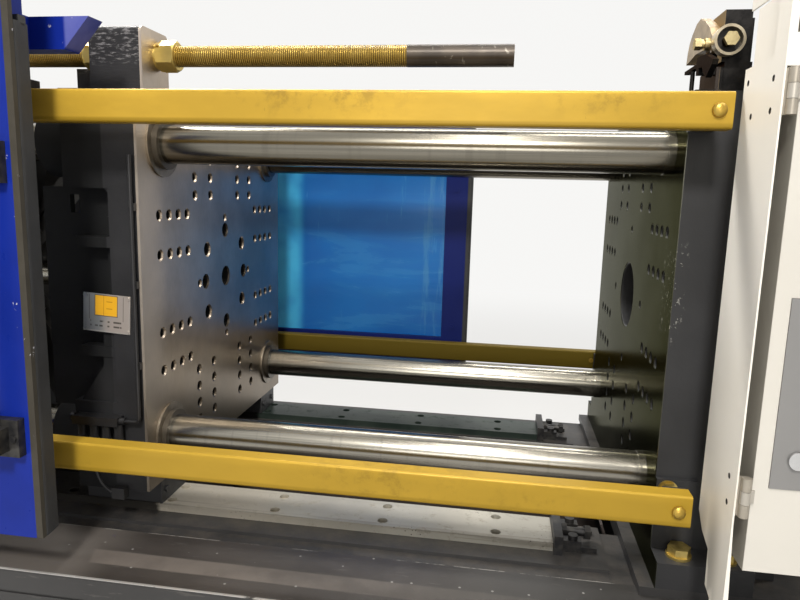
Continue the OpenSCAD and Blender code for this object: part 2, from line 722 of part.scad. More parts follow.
// Front gate: blue sheet frame with a window, and the arm that meets the latch
module gate_frame(x0, x1, z0, z1, wx0, wx1, wz0, wz1) {
    difference() {
        box(x0, x1, gate_y0, gate_y1, z0, z1);
        box(x0 + 2, x1 - 2, gate_y0 + 2, gate_y1 + 1, z0 + 2, z1 - 2);
        box(wx0, wx1, gate_y0 - 1, gate_y0 + 3, wz0, wz1);
    }
    for (x = [wx0 - 40, wx1]) box(x, x + 40, gate_y0 + 2, gate_y1 - 10, z0 + 2, z1 - 2);
    for (z = [wz0 - 40, wz1]) box(wx0, wx1, gate_y0 + 2, gate_y1 - 10, z, z + 40);
}
module front_gate() {
    color("#2740a8") on_axis() {
        gate_frame(gate_x0, gate_x1 - 10, -331, gate_top, -1760, -1060, -40, 430);
        box(gate_x1 - 10, gate_x1, gate_y0, gate_y0 + 8, -331, gate_top);
        along_y(-437, -402) polygon([[-1010, 386], [-905, 386], [-864, 432], [-1010, 432]]);
        box(-1010, -960, gate_y0 + 2, -437, 386, 432);
    }
}
module front_gate_window() {
    color("#9fb4c0", 0.4) on_axis() box(-1759.7, -1060.3, gate_y0 + 0.5, gate_y0 + 5.5, -39.7, 429.7);
}
// Soft closing profile along the gate's leading edge
module front_gate_profile() {
    color("#55565a") on_axis() {
        translate([gate_x1, gate_y0, -331]) linear_extrude(735) polygon([[-9.7, 8.3], [-9.7, 42],
            [-5, 42], [-3.6, 40], [0.2, 14], [0, 10], [-1.5, 8.3]]);
        box(gate_x1 - 9.7, gate_x1 - 1, gate_y0 + 20, gate_y0 + 34, 403, 413);
    }
}
// Glide pads that hook the gate on its rails
module front_gate_glides() {
    color("#1f1f21") on_axis() for (x = [-1840, -1030]) for (s = [1, -1]) {
        z = s > 0 ? rail_zu : rail_zl;
        box(x, x + 60, gate_y1 - 10, rail_y0 - 0.3, z - 14, z + 14);
        if (s > 0) box(x, x + 60, gate_y1 - 10, rail_y0 + rail_d, z + rail_h / 2 + 0.3, z + rail_h / 2 + 14);
    }
}
// Grab handle: two feet and a bar
module front_gate_handle() {
    color("#2b2b2e") on_axis() {
        for (z = [218, -172]) {
            box(-985, -925, gate_y0 - 14, gate_y0, z - 28, z + 28);
            box(-985, -940, gate_y0 - 38, gate_y0 - 14, z - 18, z + 18);
            cyl_y(gate_y0 - 17, gate_y0 - 14, -933, z, 5);
        }
        cyl_z(-154, 200, -972, gate_y0 - 36, 14);
    }
}

// Rear gate, partly open
module rear_gate() {
    color("#2740a8") on_axis() {
        y0 = 477;
        difference() {
            box(-1345, -351, y0, y0 + 34, -290, rear_gate_top);
            box(-1285, -411, y0 - 1, y0 + 35, -217, rear_gate_top - 60);
        }
        for (x = [-382]) for (z = [-185, 200]) cyl_y(y0 - 3, y0, x, z, 7);
        for (x = [-1315]) for (z = [-185, 200]) cyl_y(y0 - 3, y0, x, z, 7);
        for (z = [218, -172]) box(-440 + 50, -440 + 74, y0 + 34, y0 + 70, z - 20, z + 20);
        box(-388, -368, y0 + 70, y0 + 84, -192, 238);
        for (z = [218, -172]) box(-390, -366, y0 + 60, y0 + 71, z - 20, z + 20);
    }
}
module rear_gate_window() {
    color("#1f8fd0", 0.6) on_axis() box(-1284.7, -411.3, 487, 492, -216.7, rear_gate_top - 60.3);
}
module rear_gate_profile() {
    color("#2c2c2f") on_axis() {
        box(-351, -343, 479, 509, -288, rear_gate_top);
        cyl_z(-290, rear_gate_top, -344, 486.5, 6.5);
        cyl_z(-290, rear_gate_top, -344, 501.5, 6.5);
    }
}
module rear_gate_glides() {
    color("#1f1f21") on_axis() for (x = [-1340, -408]) {
        y1 = rear_rail_y + rail_d;
        box(x, x + 50, rear_rail_y, 477, rail_zu + rail_h / 2 + 0.3, rail_zu + rail_h / 2 + 14);
        box(x, x + 50, y1 + 0.3, 477, rail_zl - 14, rail_zl + 14);
    }
}

// Plate with four screws on the moving platen's side
module info_plate() {
    color("#c9c9c6") on_axis() translate([-915.5, -half, -26]) rotate([0, 3.2, 0]) {
        box(-43, 43, -2, 0, -33, 33);
        for (x = [-39, 39]) for (z = [-29, 29]) cyl_y(-4, -2, x, z, 3.2);
    }
}
// Grease distributor with fittings and tubes
module lube_block() {
    color("#4b4c4f") on_axis() {
        box(-978, -893, -half - 22, -half, -221, -206);
        cyl_x(-984, -977, -half - 11, -210, 7);
        for (x = [-966, -943, -920, -897]) {
            cyl_z(-241, -220, x, -half - 11, 7.5);
            hex_z(-250, -240, x, -half - 11, 8);
            cyl_z(-264, -249, x, -half - 11, 5);
        }
        cyl_x(-894, -884, -half - 11, -213, 6);
        cyl_x(-885, -866, -half - 11, -213, 3);
        translate([-866, -half - 11, -205]) rotate([90, 0, 0]) rotate_extrude(angle = 90, start = 270,
            $fn = 32) translate([8, 0]) circle(3, $fn = 16);
        cyl_z(-205, 240, -858, -half - 11, 3);
        for (z = [-120, 20, 150]) box(-862, -854, -half - 8.5, -half, z, z + 12);
        cyl_z(-302, -263, -943, -half - 11, 2.6);
        translate([-893, -half - 11, -302]) rotate([90, 0, 0]) rotate_extrude(angle = 72, start = 180,
            $fn = 64) translate([50, 0]) circle(2.6, $fn = 12);
        box(-914, -890, -half - 15, -half, -357, -337);
    }
}

// Fixed guards beside the toggle, with a bent top edge
module clamp_covers() {
    color("#d9d5cb") on_axis() {
        z0 = bed_z - 1.5;
        both_sides() {
            difference() {
                box(-2200, -1180, 395, 397, z0, 420);
                box(-1500, -1240, 394, 398, -60, 260);
                for (z = [rail_zu, rail_zl]) box(rp_face - 96, rp_face - 44, 394, 398, z - 26, z + 26);
                box(-1906, -1854, 394, 398, z0 - 1, bed_z + 66);
            }
            box(-2200, -1180, 360, 394.7, 418, 420);
            for (x = [-2196, -1210]) {
                box(x, x + 30, half + 0.6, 376, bed_z - 6, bed_z + 2);
                box(x, x + 30, half + 0.6, 394.7, z0, bed_z + 2);
            }
        }
        box(-2202.3, -2200.3, -397, 397, z0, 420);
        box(-2200, -1980, -359.7, 359.7, 418, 420);
    }
}

// White post beside the fixed platen that the gate closes against
module guard_post() {
    color("#dedbd2") on_axis() difference() {
        union() {
            along_x(40, 42) polygon([[-560, bed_z - 2], [-560, 356.5], [-436, 356.5], [-436, -240],
                [-458, -261], [-488, -272], [-491, -322], [-512, -329], [-522, bed_z - 2]]);
            box(40, 42, -560, -526, 356, 470);
            along_y(-560, -557) polygon([[40, bed_z - 2], [56, bed_z - 2], [56, -330], [47, -330],
                [42, -200], [40, -200]]);
            box(41, 120, -439, -436, -230, 356.5);
            box(48, 50, -557, -438, 360, 429);
            box(48, 50, -557, -411, 433, 470);
            box(41, 50, -557, -532, 362, 470);
            along_y(-557, -411) polygon([[48, 469], [50, 469], [110, 600], [107, 600]]);
            box(42, 56, -557, -532, 340, 375);
            box(41, 58, -557, -524, bed_z - 2, bed_z + 30);
            box(70, 120, -437, -half, 190, 230);
            box(70, 120, -437, -half, -200, -160);
        }
        for (p = [[-450, 338], [-531, 331], [-471, 295], [-531, 295], [-534, -147], [-535, -181]])
            cyl_x(39, 43, p[0], p[1], 3.5);
    }
}
// Butt hinges of the control housing: fixed knuckles with their pin
module panel_hinges() {
    color("#8f8f8a") on_axis() for (z = [312, -160]) {
        cyl_z(z - 25, z - 8.5, 49, -566, 6);
        cyl_z(z + 8.5, z + 25, 49, -566, 6);
        cyl_z(z - 25, z + 25, 49, -566, 2.5);
        box(42, 49, -563, -560, z - 25, z - 8.5);
        box(42, 49, -563, -560, z + 8.5, z + 25);
        box(42, 43.3, -563, -560.1, z - 25, z + 25);
    }
}
// Hinged housing that carries the controls
module control_housing() {
    color("#dedbd2") on_axis() {
        difference() {
            box(58, 690, -560, -455, -258, 464);
            box(62, 686, -556, -454, -254, 460);
            box(76, 672, -561, -555, -148, 84);
        }
        difference() {
            box(120.5, 686, -458, -455, -254, 460);
            for (z = [-200 : 40 : 0]) box(300, 500, -459, -454, z, z + 12);
        }
        for (z = [312, -160]) {
            difference() {
                union() {
                    cyl_z(z - 8, z + 8, 49, -566, 6);
                    box(49, 61, -563, -560, z - 8, z + 8);
                }
                cyl_z(z - 9, z + 9, 49, -566, 2.55);
            }
        }
        for (x = [62, 668]) box(x, x + 18, -556, -458, -40, -30);
    }
}
// Grey panel with screen recess and key fields
module control_panel() {
    color("#9a9da0") on_axis() difference() {
        box(76.3, 671.7, -561.5, -556, -147.7, 83.7);
        box(130, 400, -562, -560.5, -100, 60);
        for (i = [0 : 5]) for (j = [0 : 4])
            box(430 + i * 36, 456 + i * 36, -562, -561, -110 + j * 32, -88 + j * 32);
        cyl_y(-562, -555, 104, -110, 8.05);
        cyl_y(-562, -555, 640, 60, 8.05);
    }
}
module panel_switch() {
    color("#c8c8c8") on_axis() {
        cyl_y(-563.5, -557, 104, -110, 8);
        cyl_y(-566, -563.5, 104, -110, 11);
    }
}
module estop_button() {
    color("#c01f1f") on_axis() {
        cyl_y(-568, -557, 640, 60, 8);
        cyl_y(-582, -568, 640, 60, 17);
    }
}

// Injection carriage on two guide bars
module carriage() {
    color("#47484a") on_axis() difference() {
        union() {
            box(1120, 1300, -170, 170, -150, 130);
            box(1980, 2060, -200, 200, -150, 150);
            both_sides() {
                box(1120, 2060, 130, 170, -200, -150.3);
                box(1120, 1160, 170.3, 230, -200, -130);
                box(1140, 1240, 140, 250, -330, -200.3);
                box(1960, 2060, 140, 250, -330, -200.3);
            }
        }
        both_sides() {
            cyl_x(1119, 2061, 200, -260, 25.05);
        }
        cyl_x(1119, 1301, 0, 0, barrel_r + 6);
        cyl_x(1979, 2061, 0, 0, 96);
        cyl_z(0, 131, 1210, 0, 36);
    }
    color("#47484a") on_axis() both_sides() {
        cyl_x(1300.3, 1979.7, 110, 60, 20);
        cyl_x(460, 1119.7, 200, -165, 12);
        cyl_x(440, 460, 200, -165, 24);
    }
}
module barrel() {
    color("#9b9792") on_axis() difference() {
        union() {
            cyl_x(230, 1290, 0, 0, barrel_r);
            cyl_x(1115, 1290, 0, 0, barrel_r + 6);
            cyl_x(170, 230, 0, 0, barrel_r + 4);
            cyl_x(122, 170, 0, 0, 26);
            translate([90, 0, 0]) rotate([0, 90, 0]) cylinder(h = 32, r1 = 12, r2 = 22);
            for (x = [250, 430, 610, 790, 940]) cyl_x(x, x + 130, 0, 0, barrel_r + 7);
        }
        cyl_x(200, 1291, 0, 0, screw_dia / 2 + 0.1);
        cyl_x(89, 201, 0, 0, 3);
        cyl_z(0, 80, 1210, 0, 30);
    }
}
module screw() {
    color("#a8a8a8") on_axis() {
        cyl_x(240, 1600, 0, 0, screw_dia / 2);
        translate([212, 0, 0]) rotate([0, 90, 0]) cylinder(h = 28, r1 = 3, r2 = screw_dia / 2 - 3);
    }
}
module screw_drive() {
    color("#3d4c8f") on_axis() {
        difference() {
            union() {
                box(1560, 1660, -160, 160, -120, 120);
                cyl_x(1660, 1860, 0, 0, 90);
                cyl_x(1860, 1900, 0, 0, 70);
            }
            both_sides() cyl_x(1559, 1661, 110, 60, 20.05);
            cyl_x(1559, 1601, 0, 0, screw_dia / 2 + 0.05);
        }
    }
}
module barrel_cover() {
    color("#dedbd2") on_axis() {
        difference() {
            box(300, 1085, -88.7, 88.7, 128, 130);
            for (x = [360 : 60 : 1000]) box(x, x + 30, -60, 60, 120, 131);
        }
        both_sides() {
            box(300, 1085, 128, 130, -110, 88.7);
            along_x(300, 1085) polygon([[130, 89], [130, 90], [90, 130], [89, 130], [89, 128.3], [128.3, 89]]);
            for (x = [380, 1078]) box(x, x + 6, barrel_r, 127.7, -8, 8);
            box(1085.3, 1120, 90, 128, -100, 80);
        }
    }
}
module hopper() {
    color("#cfd2d4") on_axis() {
        translate([1210, 0, 0]) rotate_extrude($fn = 64)
            polygon([[34, 130.3], [90, 130.3], [90, 142], [38, 142], [38, 190], [hopper_r, 420],
                [hopper_r, hopper_top], [hopper_r - 3, hopper_top], [hopper_r - 3, 421.5], [34, 191]]);
        for (x = [1180, 1224]) along_x(x, x + 16) {
            translate([hopper_r + 14, hopper_top - 3]) circle(6);
            polygon([[hopper_r - 4, hopper_top - 28], [hopper_r - 4, hopper_top - 18], [hopper_r + 8,
                hopper_top - 6], [hopper_r + 8, hopper_top - 3], [hopper_r + 20, hopper_top - 3],
                [hopper_r + 20, hopper_top - 10]]);
        }
        cyl_x(1180, 1240, hopper_r + 14, hopper_top - 3, 2.5);
    }
}
module hopper_lid() {
    color("#cfd2d4") on_axis() {
        translate([1210, 0, 0]) rotate_extrude($fn = 64)
            polygon([[0, hopper_top + 4], [0, hopper_top + 12], [hopper_r - 20, hopper_top + 2.5],
                [hopper_r + 3, hopper_top + 2.5], [hopper_r + 3, hopper_top - 6],
                [hopper_r + 1, hopper_top - 6], [hopper_r + 1, hopper_top + 0.3],
                [hopper_r - 20, hopper_top + 0.3]]);
        difference() {
            union() {
                cyl_x(1196.4, 1223.6, hopper_r + 14, hopper_top - 3, 6);
                box(1198, 1222, hopper_r + 1.5, hopper_r + 14, hopper_top - 1, hopper_top + 2.5);
            }
            cyl_x(1196, 1224, hopper_r + 14, hopper_top - 3, 2.55);
        }
        cyl_z(hopper_top + 9, hopper_top + 36, 1210, 0, 10);
        cyl_z(hopper_top + 36, hopper_top + 50, 1210, 0, 20);
    }
}
// Guide bars and cylinders that move the carriage
module carriage_cylinders() {
    color("#6b6d70") on_axis() both_sides() {
        cyl_x(324, 2330, 200, -260, 25);
        box(264, 324, 150, 250, bed_z - 6, -130);
        box(2330, 2400, 150, 250, bed_z - 6, -220);
        difference() {
            cyl_x(324, 720, 200, -165, 34);
            cyl_x(340, 700, 200, -165, 24.05);
            cyl_x(699, 721, 200, -165, 12.05);
        }
    }
}
module hydraulic_unit() {
    color("#2c2d30") on_axis() {
        x1 = bed_x1 - 350;
        box(x1 - 800, x1, -230, 230, floor_z + 160, floor_z + 460);
        cyl_x(x1 - 740, x1 - 340, 0, floor_z + 600, 130);
        cyl_x(x1 - 340, x1 - 140, 0, floor_z + 600, 90);
        for (x = [x1 - 700, x1 - 420]) box(x, x + 40, -130, 130, floor_z + 460, floor_z + 540);
        box(x1 - 1600, x1 - 1040, -230, 230, floor_z + 160, floor_z + 420);
    }
}
// Hinged guard over the nozzle, with its pins in two ears on the platen's back
module nozzle_guard() {
    color("#d9a520") on_axis() {
        difference() {
            union() {
                both_sides() box(200, 420, 186, 190, -120, 170);
                both_sides() box(202, 222, 186, 190, 170, 196);
                box(224, 420, -190, 190, 170, 174);
                both_sides() box(400, 420, 168, 186, -120, -116);
            }
            for (x = [236 : 50 : 370]) box(x, x + 24, -191, 191, -90, 120);
            cyl_y(-191, 191, 212, 186, 5.05);
        }
    }
}
module guard_ears() {
    both_sides() {
        box(190, 222, 190.4, 205, 177, 198);
        cyl_y(183, 191, 212, 186, 5);
    }
}

machine_bed();
bed_covers();
levelling_feet();
slide_strips();
strip_stops();
drop_chute();
fixed_platen();
frame_bolts();
moving_platen();
platen_shoes();
tie_bar_wipers();
rear_platen();
tie_bars();
tie_bar_nuts();
rear_link_upper();
rear_link_lower();
front_link_upper();
front_link_lower();
crosshead();
cross_link_upper();
cross_link_lower();
crosshead_guides();
clamp_cylinder();
ejector_unit();
ejector_plate();
safety_rod();
latch_bracket();
latch_lever();
latch_roller();
gate_rails();
rail_brackets();
rail_bolts();
front_gate();
front_gate_window();
front_gate_profile();
front_gate_glides();
front_gate_handle();
rear_gate();
rear_gate_window();
rear_gate_profile();
rear_gate_glides();
info_plate();
lube_block();
clamp_covers();
guard_post();
panel_hinges();
control_housing();
control_panel();
panel_switch();
estop_button();
carriage();
barrel();
screw();
screw_drive();
barrel_cover();
hopper();
hopper_lid();
carriage_cylinders();
hydraulic_unit();
nozzle_guard();
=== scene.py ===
import math
import bmesh
import bpy
from mathutils import Matrix, Vector

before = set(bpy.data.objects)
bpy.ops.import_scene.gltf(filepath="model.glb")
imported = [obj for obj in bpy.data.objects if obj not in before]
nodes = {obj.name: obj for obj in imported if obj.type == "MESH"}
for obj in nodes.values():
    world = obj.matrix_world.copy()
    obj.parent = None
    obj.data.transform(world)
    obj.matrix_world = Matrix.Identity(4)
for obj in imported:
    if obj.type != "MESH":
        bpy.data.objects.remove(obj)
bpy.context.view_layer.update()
scene = bpy.context.scene
scene.view_settings.view_transform = "Standard"

FACE_X_MM = 200  # the fixed mould face lies this far on the clamp's side of the world's origin
AXIS_Z_MM = 1180  # height of the tie bars' axis above the floor


def W(x, y, z):
    """A point given from the fixed mould face and the tie bars' axis, in mm, as a world point in metres."""
    return Vector(((x - FACE_X_MM) / 1000, y / 1000, (z + AXIS_Z_MM) / 1000))


def X(x):
    """World x of a distance from the fixed mould face, in mm."""
    return W(x, 0, 0).x


def Z(z):
    """World z of a height above the tie bars' axis, in mm."""
    return W(0, 0, z).z


# ---------------------------------------------------------------- camera
CAMERA_AT = (-0.45877, -1.36490, 1.37342)
CAMERA_TURN = (8.4326, 9.4025, 1.5159)  # yaw, pitch and roll in degrees
LENS_MM = 29.62
SENSOR_MM = 36

yaw, pitch, roll = (math.radians(a) for a in CAMERA_TURN)
r0 = Vector((math.cos(yaw), math.sin(yaw), 0))
f0 = Vector((-math.sin(yaw) * math.cos(pitch), math.cos(yaw) * math.cos(pitch), -math.sin(pitch)))
u0 = r0.cross(f0)
right = r0 * math.cos(roll) + u0 * math.sin(roll)
up = u0 * math.cos(roll) - r0 * math.sin(roll)
cam_data = bpy.data.cameras.new("camera")
cam_data.lens = LENS_MM
cam_data.sensor_width = SENSOR_MM
cam_data.sensor_fit = "HORIZONTAL"
cam_data.clip_start = 0.02
cam_data.clip_end = 60
cam = bpy.data.objects.new("camera", cam_data)
rot = Matrix((right, up, -f0)).transposed()
cam.matrix_world = Matrix.Translation(CAMERA_AT) @ rot.to_4x4()
scene.collection.objects.link(cam)
scene.camera = cam


# ---------------------------------------------------------------- shader helpers
class Mat:
    """A node material with small helpers. Values go straight on the sockets where they are uniform."""

    def __init__(self, name):
        self.m = bpy.data.materials.new(name)
        self.m.use_nodes = True
        self.t = self.m.node_tree
        self.b = self.t.nodes["Principled BSDF"]
        self.out = self.t.nodes["Material Output"]
        self.co = self.t.nodes.new("ShaderNodeTexCoord").outputs["Object"]
        sep = self.t.nodes.new("ShaderNodeSeparateXYZ")
        self.t.links.new(self.co, sep.inputs[0])
        self.x, self.y, self.z = sep.outputs

    def put(self, socket, value):
        if isinstance(value, bpy.types.NodeSocket):
            self.t.links.new(value, socket)
        elif hasattr(value, "__len__") and len(value) == 3 and len(socket.default_value) == 4:
            socket.default_value = (*value, 1)
        else:
            socket.default_value = value

    def set(self, **kw):
        names = {"color": "Base Color", "rough": "Roughness", "metal": "Metallic", "normal": "Normal",
                 "spec": "Specular IOR Level", "tint": "Specular Tint", "coat": "Coat Weight", "ior": "IOR",
                 "trans": "Transmission Weight", "alpha": "Alpha", "emit": "Emission Color",
                 "emit_power": "Emission Strength"}
        for k, v in kw.items():
            self.put(self.b.inputs[names[k]], v)

    def math(self, op, a, b=None, clamp=False):
        n = self.t.nodes.new("ShaderNodeMath")
        n.operation = op
        n.use_clamp = clamp
        for i, v in enumerate((a, b)):
            if v is not None:
                self.put(n.inputs[i], v)
        return n.outputs[0]

    def scaled(self, s):
        n = self.t.nodes.new("ShaderNodeMapping")
        n.vector_type = "POINT"
        self.t.links.new(self.co, n.inputs[0])
        n.inputs["Scale"].default_value = s
        return n.outputs[0]

    def noise(self, scale, detail=3, rough=0.55, stretch=None, distort=0):
        n = self.t.nodes.new("ShaderNodeTexNoise")
        n.inputs["Scale"].default_value = scale
        n.inputs["Detail"].default_value = detail
        n.inputs["Roughness"].default_value = rough
        n.inputs["Distortion"].default_value = distort
        self.t.links.new(self.scaled(stretch) if stretch else self.co, n.inputs["Vector"])
        return n.outputs[0]

    def voronoi(self, scale):
        n = self.t.nodes.new("ShaderNodeTexVoronoi")
        n.inputs["Scale"].default_value = scale
        self.t.links.new(self.co, n.inputs["Vector"])
        return n.outputs["Distance"]

    def wave(self, axis, scale):
        n = self.t.nodes.new("ShaderNodeTexWave")
        n.bands_direction = axis
        n.inputs["Scale"].default_value = scale
        self.t.links.new(self.co, n.inputs["Vector"])
        return n.outputs["Fac"]

    def step(self, v, lo, hi):
        """0 below lo, 1 above hi; reversed where lo > hi."""
        n = self.t.nodes.new("ShaderNodeMapRange")
        n.interpolation_type = "SMOOTHSTEP"
        self.put(n.inputs["Value"], v)
        n.inputs["From Min"].default_value = min(lo, hi)
        n.inputs["From Max"].default_value = max(lo, hi)
        n.inputs["To Min"].default_value = 0 if lo < hi else 1
        n.inputs["To Max"].default_value = 1 if lo < hi else 0
        return n.outputs[0]

    def lerp(self, f, a, b):
        """Between two numbers."""
        n = self.t.nodes.new("ShaderNodeMix")
        n.data_type = "FLOAT"
        self.put(n.inputs[0], f)
        self.put(n.inputs[2], a)
        self.put(n.inputs[3], b)
        return n.outputs[0]

    def mix(self, f, a, b):
        """Between two colours."""
        n = self.t.nodes.new("ShaderNodeMix")
        n.data_type = "RGBA"
        self.put(n.inputs[0], f)
        self.put(n.inputs[6], a)
        self.put(n.inputs[7], b)
        return n.outputs[2]

    def mul(self, *v):
        out = v[0]
        for w in v[1:]:
            out = self.math("MULTIPLY", out, w, clamp=True)
        return out

    def any(self, *v):
        out = v[0]
        for w in v[1:]:
            out = self.math("MAXIMUM", out, w)
        return out

    def inv(self, v):
        return self.math("SUBTRACT", 1, v)

    def between(self, v, lo, hi, soft=0.0004):
        return self.mul(self.step(v, lo - soft, lo + soft), self.step(v, hi + soft, hi - soft))

    def spot(self, p, r, squeeze=(1, 1, 1)):
        """1 at the world point p, 0 beyond r; squeeze widens it along an axis where below 1."""
        d = None
        for c, q, s in zip((self.x, self.y, self.z), p, squeeze):
            e = self.math("MULTIPLY", self.math("SUBTRACT", c, q), s)
            e = self.math("MULTIPLY", e, e)
            d = e if d is None else self.math("ADD", d, e)
        return self.step(self.math("SQRT", d), r, 0)

    def off(self, a, a0, b, b0):
        """Distance from the line where the coordinate a is a0 and b is b0."""
        da = self.math("POWER", self.math("SUBTRACT", a, a0), 2)
        db = self.math("POWER", self.math("SUBTRACT", b, b0), 2)
        return self.math("SQRT", self.math("ADD", da, db))

    def bump(self, height, strength=0.3, dist=0.001):
        n = self.t.nodes.new("ShaderNodeBump")
        n.inputs["Strength"].default_value = strength
        n.inputs["Distance"].default_value = dist
        self.put(n.inputs["Height"], height)
        return n.outputs[0]


def shade(c, k):
    """A colour made lighter or darker."""
    return tuple(min(1, v * k) for v in c)


def paint(name, col, rough=0.35, mottle=0.14, size=9, peel=0.12, dust=0.0, dust_col=None):
    """Enamel on metal: slow tone changes, a fine orange peel and dust on what faces up."""
    m = Mat(name)
    n = m.noise(size, 4)
    c = m.mix(m.step(n, 0.3, 0.7), shade(col, 1 - mottle), shade(col, 1 + mottle))
    if dust:
        g = m.t.nodes.new("ShaderNodeTexCoord").outputs["Normal"]
        s = m.t.nodes.new("ShaderNodeSeparateXYZ")
        m.t.links.new(g, s.inputs[0])
        f = m.mul(m.step(s.outputs[2], 0.5, 0.95), m.step(m.noise(26, 6, 0.7), 0.35, 0.75), dust)
        c = m.mix(f, c, dust_col)
    m.set(color=c, rough=m.lerp(m.noise(60, 3), rough - 0.06, rough + 0.08))
    m.set(normal=m.bump(m.noise(420, 2), peel, 0.0006))
    return m


def steel(name, col, rough, brush):
    """Bare machined steel: streaks along the brushed direction and slow oil tones."""
    m = Mat(name)
    s = m.noise(220, 3, 0.6, stretch=brush)
    n = m.noise(7, 4, 0.6)
    c = m.mix(m.step(n, 0.3, 0.72), shade(col, 1 - 0.12), shade(col, 1 + 0.12))
    c = m.mix(m.mul(m.step(s, 0.55, 0.75), 0.12), c, shade(col, 0.5))
    m.set(color=c, metal=1.0, rough=m.lerp(s, rough - 0.07, rough + 0.09), normal=m.bump(s, 0.05, 0.0004))
    return m


def give(mat, *names):
    """Sets a material on the named solids."""
    for n in names:
        o = nodes[n]
        o.data.materials.clear()
        o.data.materials.append(mat.m)


# ---------------------------------------------------------------- materials
DARK = (0.023, 0.023, 0.0245)
BED = (0.03, 0.029, 0.029)
GOLD = (0.6, 0.375, 0.045)
BLUE = (0.006, 0.02, 0.225)
WHITE = (0.66, 0.635, 0.58)
STEEL = (0.52, 0.43, 0.335)

MOVING_FACE = -1.0542  # world x from which the moving platen is machined
FIXED_FACE = -0.1988  # world x up to which the fixed platen is machined
ROD_AXIS = W(0, -262.5, 409)
ROD_RADIUS = 0.0176
ROD_DARK_FROM = -0.62  # world x of the rod's plain dark end
LEVER_PIN = W(47, -287, 419)
ROLLER_PIN = W(50.8, -317, 418)
PLATE_CENTRE = W(-915.5, 0, -26)
PLATE_TILT = math.radians(3.2)
SHEET_TOP = 0.7746  # world z just below the top of the sheet beside the strips
# y and z in mm of the small holes in the guard post
POST_HOLES = ((-450, 338), (-531, 331), (-471, 295), (-531, 295), (-534, -147), (-535, -181))


def casting(name, lo=None, hi=None, chips=None, bare_col=STEEL, gloss=(0.24, 0.42)):
    """Dark enamel, with bare steel where x is above lo or below hi; the paint chips between the x of chips."""
    m = Mat(name)
    n = m.noise(8, 5)
    c = m.mix(m.step(n, 0.3, 0.7), shade(DARK, 0.8), shade(DARK, 1.25))
    paint_rough = m.lerp(m.noise(40, 3), 0.4, 0.54)
    pits = m.noise(190, 3)
    if lo is None and hi is None:
        m.set(color=c, rough=paint_rough, normal=m.bump(pits, 0.3, 0.0008))
        return m
    if lo is not None:
        bare = m.step(m.x, lo - 0.0004, lo + 0.0004)
    else:
        bare = m.step(m.x, hi + 0.0004, hi - 0.0004)
    if chips:
        near = m.step(m.x, chips[1], chips[0])
        bit = m.step(m.noise(150, 5, 0.75, (1, 1, 0.6)), 0.6, 0.62)
        chip = m.mul(near, bit, m.step(m.math("ABSOLUTE", m.math("SUBTRACT", m.z, 1.235)), 0.085, 0.05),
                     m.step(m.y, -0.27, -0.29))
    streak = m.noise(90, 4, 0.62, stretch=(1, 14, 0.7))
    broad = m.noise(5.5, 4, 0.6)
    metal_col = m.mix(m.step(broad, 0.3, 0.72), shade(bare_col, 0.72), shade(bare_col, 1.12))
    metal_col = m.mix(m.mul(m.step(streak, 0.5, 0.8), 0.45), metal_col, shade(bare_col, 0.45))
    rust = (bare_col[0] * 0.95, bare_col[1] * 0.78, bare_col[2] * 0.55)
    metal_col = m.mix(m.mul(m.step(m.noise(3.2, 3), 0.5, 0.75), 0.4), metal_col, rust)
    col = m.mix(bare, c, metal_col)
    rough = m.lerp(bare, paint_rough, m.lerp(streak, *gloss))
    metal = bare
    if chips:
        col = m.mix(chip, col, (0.55, 0.53, 0.49))
        metal = m.any(bare, m.mul(chip, 0.6))
    if lo is not None:
        # the moving platen: rough bosses on top, painted shade in its hollows (stronger low down), the bare
        # face darker low down, a bright front corner
        boss = m.mul(m.step(m.z, 1.525, 1.529), m.inv(bare))
        grain = m.noise(150, 5, 0.7, stretch=(0.45, 1, 1.6))
        col = m.mix(m.mul(boss, m.step(grain, 0.5, 0.66), m.step(m.z, 1.56, 1.58)), col, (0.2, 0.195, 0.2))
        pits = m.lerp(boss, pits, m.math("MULTIPLY", grain, 3))
        # painted shade: the hollows behind the front flange darkened, more so low down
        hollow_shade = m.mul(m.any(m.step(m.y, -0.338, -0.329), m.step(m.x, X(-911), X(-914))),
                     m.step(m.z, 1.512, 1.505), m.inv(bare))
        low = m.mul(m.step(m.z, Z(-150), Z(-90)), 0.35)
        col = m.mix(m.mul(hollow_shade, m.math("ADD", 0.42, low)), col, (0.003, 0.0035, 0.0035))
        rough = m.lerp(hollow_shade, rough, 0.85)
        m.set(spec=0.22)
        corner = m.mul(bare, m.step(m.y, -0.25, -0.33))
        col = m.mix(m.mul(corner, 0.45), col, (0.62, 0.56, 0.5))
        rough = m.lerp(corner, rough, 0.5)
        col = m.mix(m.mul(bare, m.step(m.z, 1.07, 0.94), 0.75), col, (0.12, 0.1, 0.075))
    if hi is not None:
        m.set(tint=(0.34, 0.34, 0.3), spec=0.35)
        col = m.mix(m.mul(m.inv(bare), 0.25), col, (0.075, 0.076, 0.08))
    m.set(color=col, rough=rough, metal=metal)
    m.set(normal=m.bump(m.lerp(bare, pits, m.math("MULTIPLY", streak, 0.12)), 0.3, 0.0008))
    return m


def fitting(name, size, detail, low, tones, metal, rough, grain):
    """A small metal part: two tones, a roughness that follows them, a grain (scale, strength, depth)."""
    m = Mat(name)
    n = m.noise(size, detail)
    c = m.mix(m.step(n, low, 0.7), *tones)
    scale, strength, depth = grain
    m.set(color=c, metal=metal, rough=m.lerp(n, *rough), normal=m.bump(m.noise(scale), strength, depth))
    return m


